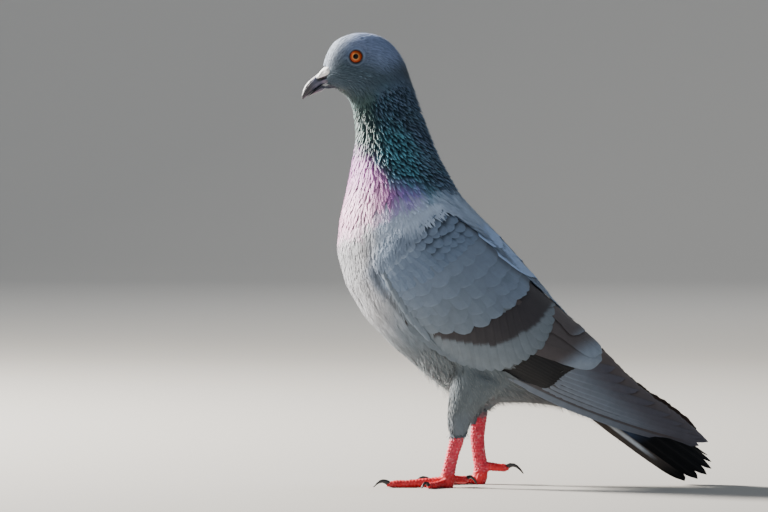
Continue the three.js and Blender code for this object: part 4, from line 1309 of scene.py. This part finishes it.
def make_lids(word):
    """The ring of bare skin round an eye: two thin rolls with fine wrinkles."""
    spokes = 96
    centre, axis, spoke, turn = eye_frame(word, spokes)
    points, tints = [], []
    for radius, lift in LID_ROLLS + LID_SKIRT:
        wave = np.sin(turn * 29 + radius * 4)
        wrinkle = 0.05 * wave + 0.04 * np.sin(turn * 17 - radius * 6)
        ring = centre + spoke * radius
        if [radius, lift] in LID_SKIRT:
            eyeball_level = 3.3 - 0.35 * (radius - 4.24)  # kept where the form is hollow
            depth = np.maximum(depth_on_form(ring, centre, axis), eyeball_level) + lift
        else:
            depth = math.sqrt(EYE_RADIUS**2 - radius**2) + lift + wrinkle * (radius > 4)
        points.append(ring + axis * depth[:, None])
        shade = 0.75 + 0.35 * (radius > 4.0) + 0.15 * wave
        feathered = 0 * turn + ramp(radius, 4.2, 4.45)
        tints.append(blend(INK["lid"] * shade[:, None], body_ink(points[-1]) * 0.85, feathered))
    quads = ring_quads(len(points), spokes)
    return mesh_object(f"lids_{word}", np.concatenate(points), quads, np.concatenate(tints))


def bill_top():
    """The upper bill, with the slit of the nostril in painted shade, growth lines and a pale ridge that is
    partly a painted highlight.
    """
    made, points, normals = remeshed("bill_top", ["bill_upper"], voxel=0.22, grow=0.18, rounds=4)
    x, _, z = points.T
    side = np.clip(np.abs(normals[:, 1]) * 1.6, 0, 1)
    ahead = x - NOSTRIL["x"]
    above = z - NOSTRIL["z"] - NOSTRIL["slope"] * ahead
    slit = np.exp(-(ahead / NOSTRIL["length"]) ** 4 - (above / NOSTRIL["height"]) ** 2) * side
    growth = 0.05 * np.sin((x * 0.8 - z * 0.6) * 3.1 + speckle(points, 1.5))
    hollow = NOSTRIL["depth"] * slit - growth * ramp(x, -108, -114)
    set_points(made.data, points - normals * hollow[:, None])
    colour = layered(
        "horn",
        ("horn_tip", ramp(x, -112, -117)),
        # the culmen's pale ridge, set by which way the surface faces, is partly its own pale horn and partly
        # a painted highlight
        ("horn_pale_lit", ramp(normals[:, 2] - 0.9 * normals[:, 0], 0.75, 1.2) * 0.8),
        ("gape", ramp(x, -110, -104) * ramp(z, 240.2, 238.6) * 0.7),
        # the nostril's slit is painted near black as painted shade in its opening
        ("nostril", np.clip(slit * 1.6, 0, 1)),
    )
    paint(made.data, colour * (1 + 0.12 * speckle(points, 1.1))[:, None])
    return made


def bill_bottom():
    """The lower bill, which narrows where it goes in under the feathers."""
    made, points, normals = remeshed("bill_bottom", ["bill_lower"], voxel=0.22, grow=0.42, rounds=3)
    set_points(made.data, points - normals * (2.4 * ramp(points[:, 0], -109.5, -105.0))[:, None])
    colour = layered("horn_low", ("horn_tip", ramp(points[:, 0], -107, -114)))
    paint(made.data, colour * (1 + 0.12 * speckle(points, 1.1))[:, None])
    return made


def cere_skin():
    """The cere: two powdery swellings, finely folded, parted behind and flatter ahead."""
    made, points, normals = remeshed("cere_skin", ["cere"], voxel=0.26, grow=0.25, rounds=5)
    apart = np.sign(points[:, 1]) * 1.5 * ramp(points[:, 0], -109.5, -104.5)
    points[:, 1] += apart * ramp(np.abs(points[:, 1]), 0.4, 2.5)
    ahead = ramp(points[:, 0], -107.0, -112.6)
    middle = CERE["z"] + (points[:, 0] - CERE["x"]) * math.tan(CERE["slope"])
    points[:, 2] += -0.35 * ahead * (points[:, 2] - middle) - 1.5 * ahead
    folds = 0.06 * speckle(points, 0.9) + 0.04 * speckle(points, 0.4, 2.0)
    set_points(made.data, points + normals * folds[:, None])
    # darker in the hollows of the folds: painted shade
    paint(made.data, INK["cere"] * (1 + 1.1 * np.minimum(folds, 0))[:, None])
    return made


def make_claws(word, nodes):
    made, points, _ = remeshed(f"claws_{word}", nodes, voxel=0.22, grow=0.14, rounds=4)
    paint(made.data, INK["claw"] * (1 + 0.3 * speckle(points, 0.8))[:, None])
    return made


# --- Materials -----------------------------------------------------------------------------------

class Graph:
    """The nodes of one material. Each input is a number or the output of another node."""

    def __init__(self, made):
        self.nodes, self.links = made.node_tree.nodes, made.node_tree.links
        self.shader = self.nodes["Principled BSDF"]

    def add(self, kind, inputs=None, **settings):
        """The outputs of a new node of a kind, with its inputs by name or number and its settings."""
        made = self.nodes.new("ShaderNode" + kind)
        for name, value in settings.items():
            setattr(made, name, value)
        for name, value in (inputs or {}).items():
            if isinstance(value, bpy.types.NodeSocket):
                self.links.new(value, made.inputs[name])
            else:
                made.inputs[name].default_value = value
        return made.outputs

    def math(self, operation, *values):
        return self.add("Math", dict(enumerate(values)), operation=operation)[0]

    def noise(self, scale, detail):
        """A noise texture in the object's own coordinates, scale per metre."""
        place = self.add("TexCoord")["Object"]
        return self.add("TexNoise", {"Scale": scale, "Detail": detail, "Vector": place})["Fac"]

    def scaled(self, colour, factor, low, high):
        """The colour, lightened or darkened by a factor that a 0 to 1 value steers from low to high."""
        scale = self.add("MapRange", {"To Min": low, "To Max": high, "Value": factor})["Result"]
        return self.add("VectorMath", {0: colour, "Scale": scale}, operation="SCALE")["Vector"]

    def bump(self, height, strength, distance):
        inputs = {"Strength": strength, "Distance": distance * MM, "Height": height}
        self.links.new(self.add("Bump", inputs)["Normal"], self.shader.inputs["Normal"])


def material(name, roughness, settings, detail=None):
    """A Principled material coloured by the Tint attribute, to which detail adds something fine."""
    made = bpy.data.materials.new(name)
    made.use_nodes = True
    graph = Graph(made)
    for socket, value in {"Roughness": roughness, **settings}.items():
        graph.shader.inputs[socket].default_value = value
    colour = graph.add("Attribute", attribute_name="Tint")["Color"]
    if detail:
        colour = detail(graph, colour)
    graph.links.new(colour, graph.shader.inputs["Base Color"])
    return made


def barbed(spacing, depth, streak):
    """Barbs that run out from the shaft at a slant, as fine ridges and pale and dark streaks."""

    def detail(graph, colour):
        place = graph.add("UVMap", uv_map="Vane")["UV"]
        parts = graph.add("SeparateXYZ", {0: place})
        out = graph.math("ABSOLUTE", parts["X"])
        slant = graph.math("MULTIPLY_ADD", out, -1.3, parts["Y"])
        wander = graph.math("MULTIPLY_ADD", graph.noise(900, 2), 0.05, slant)
        wave = graph.math("SINE", graph.math("MULTIPLY", wander, WHOLE_TURN / BARB_UNIT / spacing))
        level = graph.math("MULTIPLY_ADD", wave, 0.5, 0.5)
        graph.bump(level, 0.5, depth)
        made = graph.scaled(colour, level, 1 - streak, 1 + streak)
        return graph.scaled(made, graph.noise(260, 4), 0.82, 1.18)

    return detail


def grained(scale, low, high, depth):
    """Fine irregular grain in colour and height."""

    def detail(graph, colour):
        grain = graph.noise(scale, 4)
        graph.bump(grain, 0.6, depth)
        return graph.scaled(colour, grain, low, high)

    return detail


SOFT = {"Sheen Weight": 0.10, "Sheen Roughness": 0.5, "Specular IOR Level": 0.3}
MATT = {"Sheen Weight": 0.02, "Sheen Roughness": 0.5, "Specular IOR Level": 0.12}
GLOSSY = {"Sheen Weight": 0.05, "Sheen Roughness": 0.35, "Specular IOR Level": 0.22}
HORN = {"Specular IOR Level": 0.5, "Coat Weight": 0.25, "Coat Roughness": 0.3}
WET = {"Specular IOR Level": 0.1, "Coat Weight": 0.12, "Coat Roughness": 0.04}


# --- Dress the bird ------------------------------------------------------------------------------

def wear(piece, look, slot, *nodes):
    """Gives a piece its material and body, and hides the CAD nodes that it stands for; slot is not used."""
    piece.data.materials.clear()
    piece.data.materials.append(look)
    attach(piece, "root")
    if nodes:
        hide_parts(*nodes)


down = material("down", 0.8, SOFT, barbed(0.8, 0.05, 0.05))
hackle = material("hackle", 0.45, GLOSSY, barbed(0.9, 0.08, 0.10))
quill = material("quill", 0.55, SOFT, barbed(0.75, 0.06, 0.07))
rectrix = material("rectrix", 0.6, MATT, barbed(0.75, 0.06, 0.07))
hide = material("hide", 0.55, {"Specular IOR Level": 0.4}, grained(1500, 0.8, 1.2, 0.15))
horn = material("horn", 0.4, HORN, grained(1200, 0.85, 1.15, 0.05))
wax = material("wax", 0.75, {"Specular IOR Level": 0.3}, grained(2500, 0.85, 1.1, 0.10))
iris = material("iris", 0.35, WET)
lid_skin = material("lid_skin", 0.5, {"Specular IOR Level": 0.5}, grained(3000, 0.8, 1.2, 0.08))

wear(dress_head(), down, "head")
wear(dress_neck("coat_neck", is_neck, 21), hackle, "neck")
wear(dress_body("coat_breast", lambda p: (p[:, 0] < BREAST_END) & is_body(p), 31), down, "breast")
wear(dress_body("coat_rear", lambda p: (p[:, 0] >= BREAST_END) & is_body(p), 36), down, "breast")
wear(dress_fluff(), down, "breast")
for word in SIDES:
    coverts, flight = dress_wing(word)
    wear(coverts, quill, "wing", f"wing_{word}_coverts")
    wear(flight, quill, "primaries", f"wing_{word}_secondaries", f"wing_{word}_primaries")
    wear(make_eye(word), iris, "eye", f"eye_{word}")
    wear(make_lids(word), lid_skin, "head")
    claw_nodes = [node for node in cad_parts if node.startswith(f"claw_{word}")]
    wear(make_claws(word, claw_nodes), horn, "claw", *claw_nodes)
wear(dress_tail(), rectrix, "tail", *TAIL_PARTS)
wear(make_skin(), hide, "leg", *FLESH, *LEG_PARTS)
wear(bill_top(), horn, "bill", "bill_upper")
wear(bill_bottom(), horn, "bill", "bill_lower")
wear(cere_skin(), wax, "cere", "cere")
bpy.data.objects.remove(form)


# --- Floor, light, camera, in metres -------------------------------------------------------------

def make_floor():
    """A pale floor that turns up into a backdrop far behind the bird."""
    near, far, radius, top, wide, steps = -7.0, 7.0, 2.2, 7.0, 12.0, 12
    line = [(near, 0.0), (far - radius, 0.0)]
    for i in range(1, steps + 1):
        angle = math.pi / 2 * i / steps
        line.append((far - radius + radius * math.sin(angle), radius * (1 - math.cos(angle))))
    line.append((far, top))
    points = np.array([(x, y, z) for y, z in line for x in (-wide, wide)]) / MM
    floor = mesh_object("floor", points, grid_quads(1, len(line), 2), INK["floor"])
    floor.data.materials.append(material("floor", 0.9, {"Specular IOR Level": 0.2}))


def point_at(made, place, aim):
    """Puts a lamp or camera at a place and turns it to look at another."""
    made.location = place
    made.rotation_euler = (Vector(aim) - Vector(place)).to_track_quat("-Z", "Y").to_euler()


def add_light(name, place, aim, size, power, colour):
    lamp = bpy.data.lights.new(name, "AREA")
    lamp.size = size
    lamp.energy = power
    lamp.color = colour
    point_at(linked(name, lamp), place, aim)


make_floor()
MIDDLE = (0, 0, 0.14)
add_light("key", (-1.95, 0.92, 1.20), MIDDLE, 0.5, 400, (1.0, 0.96, 0.90))
add_light("fill", (0.3, -2.6, 1.1), MIDDLE, 2.2, 14, (0.84, 0.92, 1.0))
add_light("top", (0.5, 0.6, 2.4), MIDDLE, 1.2, 10, (0.86, 0.93, 1.0))
add_light("backdrop", (0, 3.2, 2.6), (0, 7.0, 1.0), 3.0, 85, (0.93, 0.96, 1.0))

world = bpy.data.worlds.new("world")
bpy.context.scene.world = world
world.use_nodes = True
sky = world.node_tree.nodes["Background"]
sky.inputs["Color"].default_value = (0.74, 0.85, 1.0, 1)
sky.inputs["Strength"].default_value = 0.22

camera = linked("camera", bpy.data.cameras.new("camera"))
point_at(camera, (CAMERA["x"], -CAMERA["distance"], CAMERA["height"]), (CAMERA["x"], 0, CAMERA["aim_height"]))
camera.data.lens = CAMERA["lens"]
camera.data.sensor_width = 36
camera.data.clip_end = 50
bpy.context.scene.camera = camera
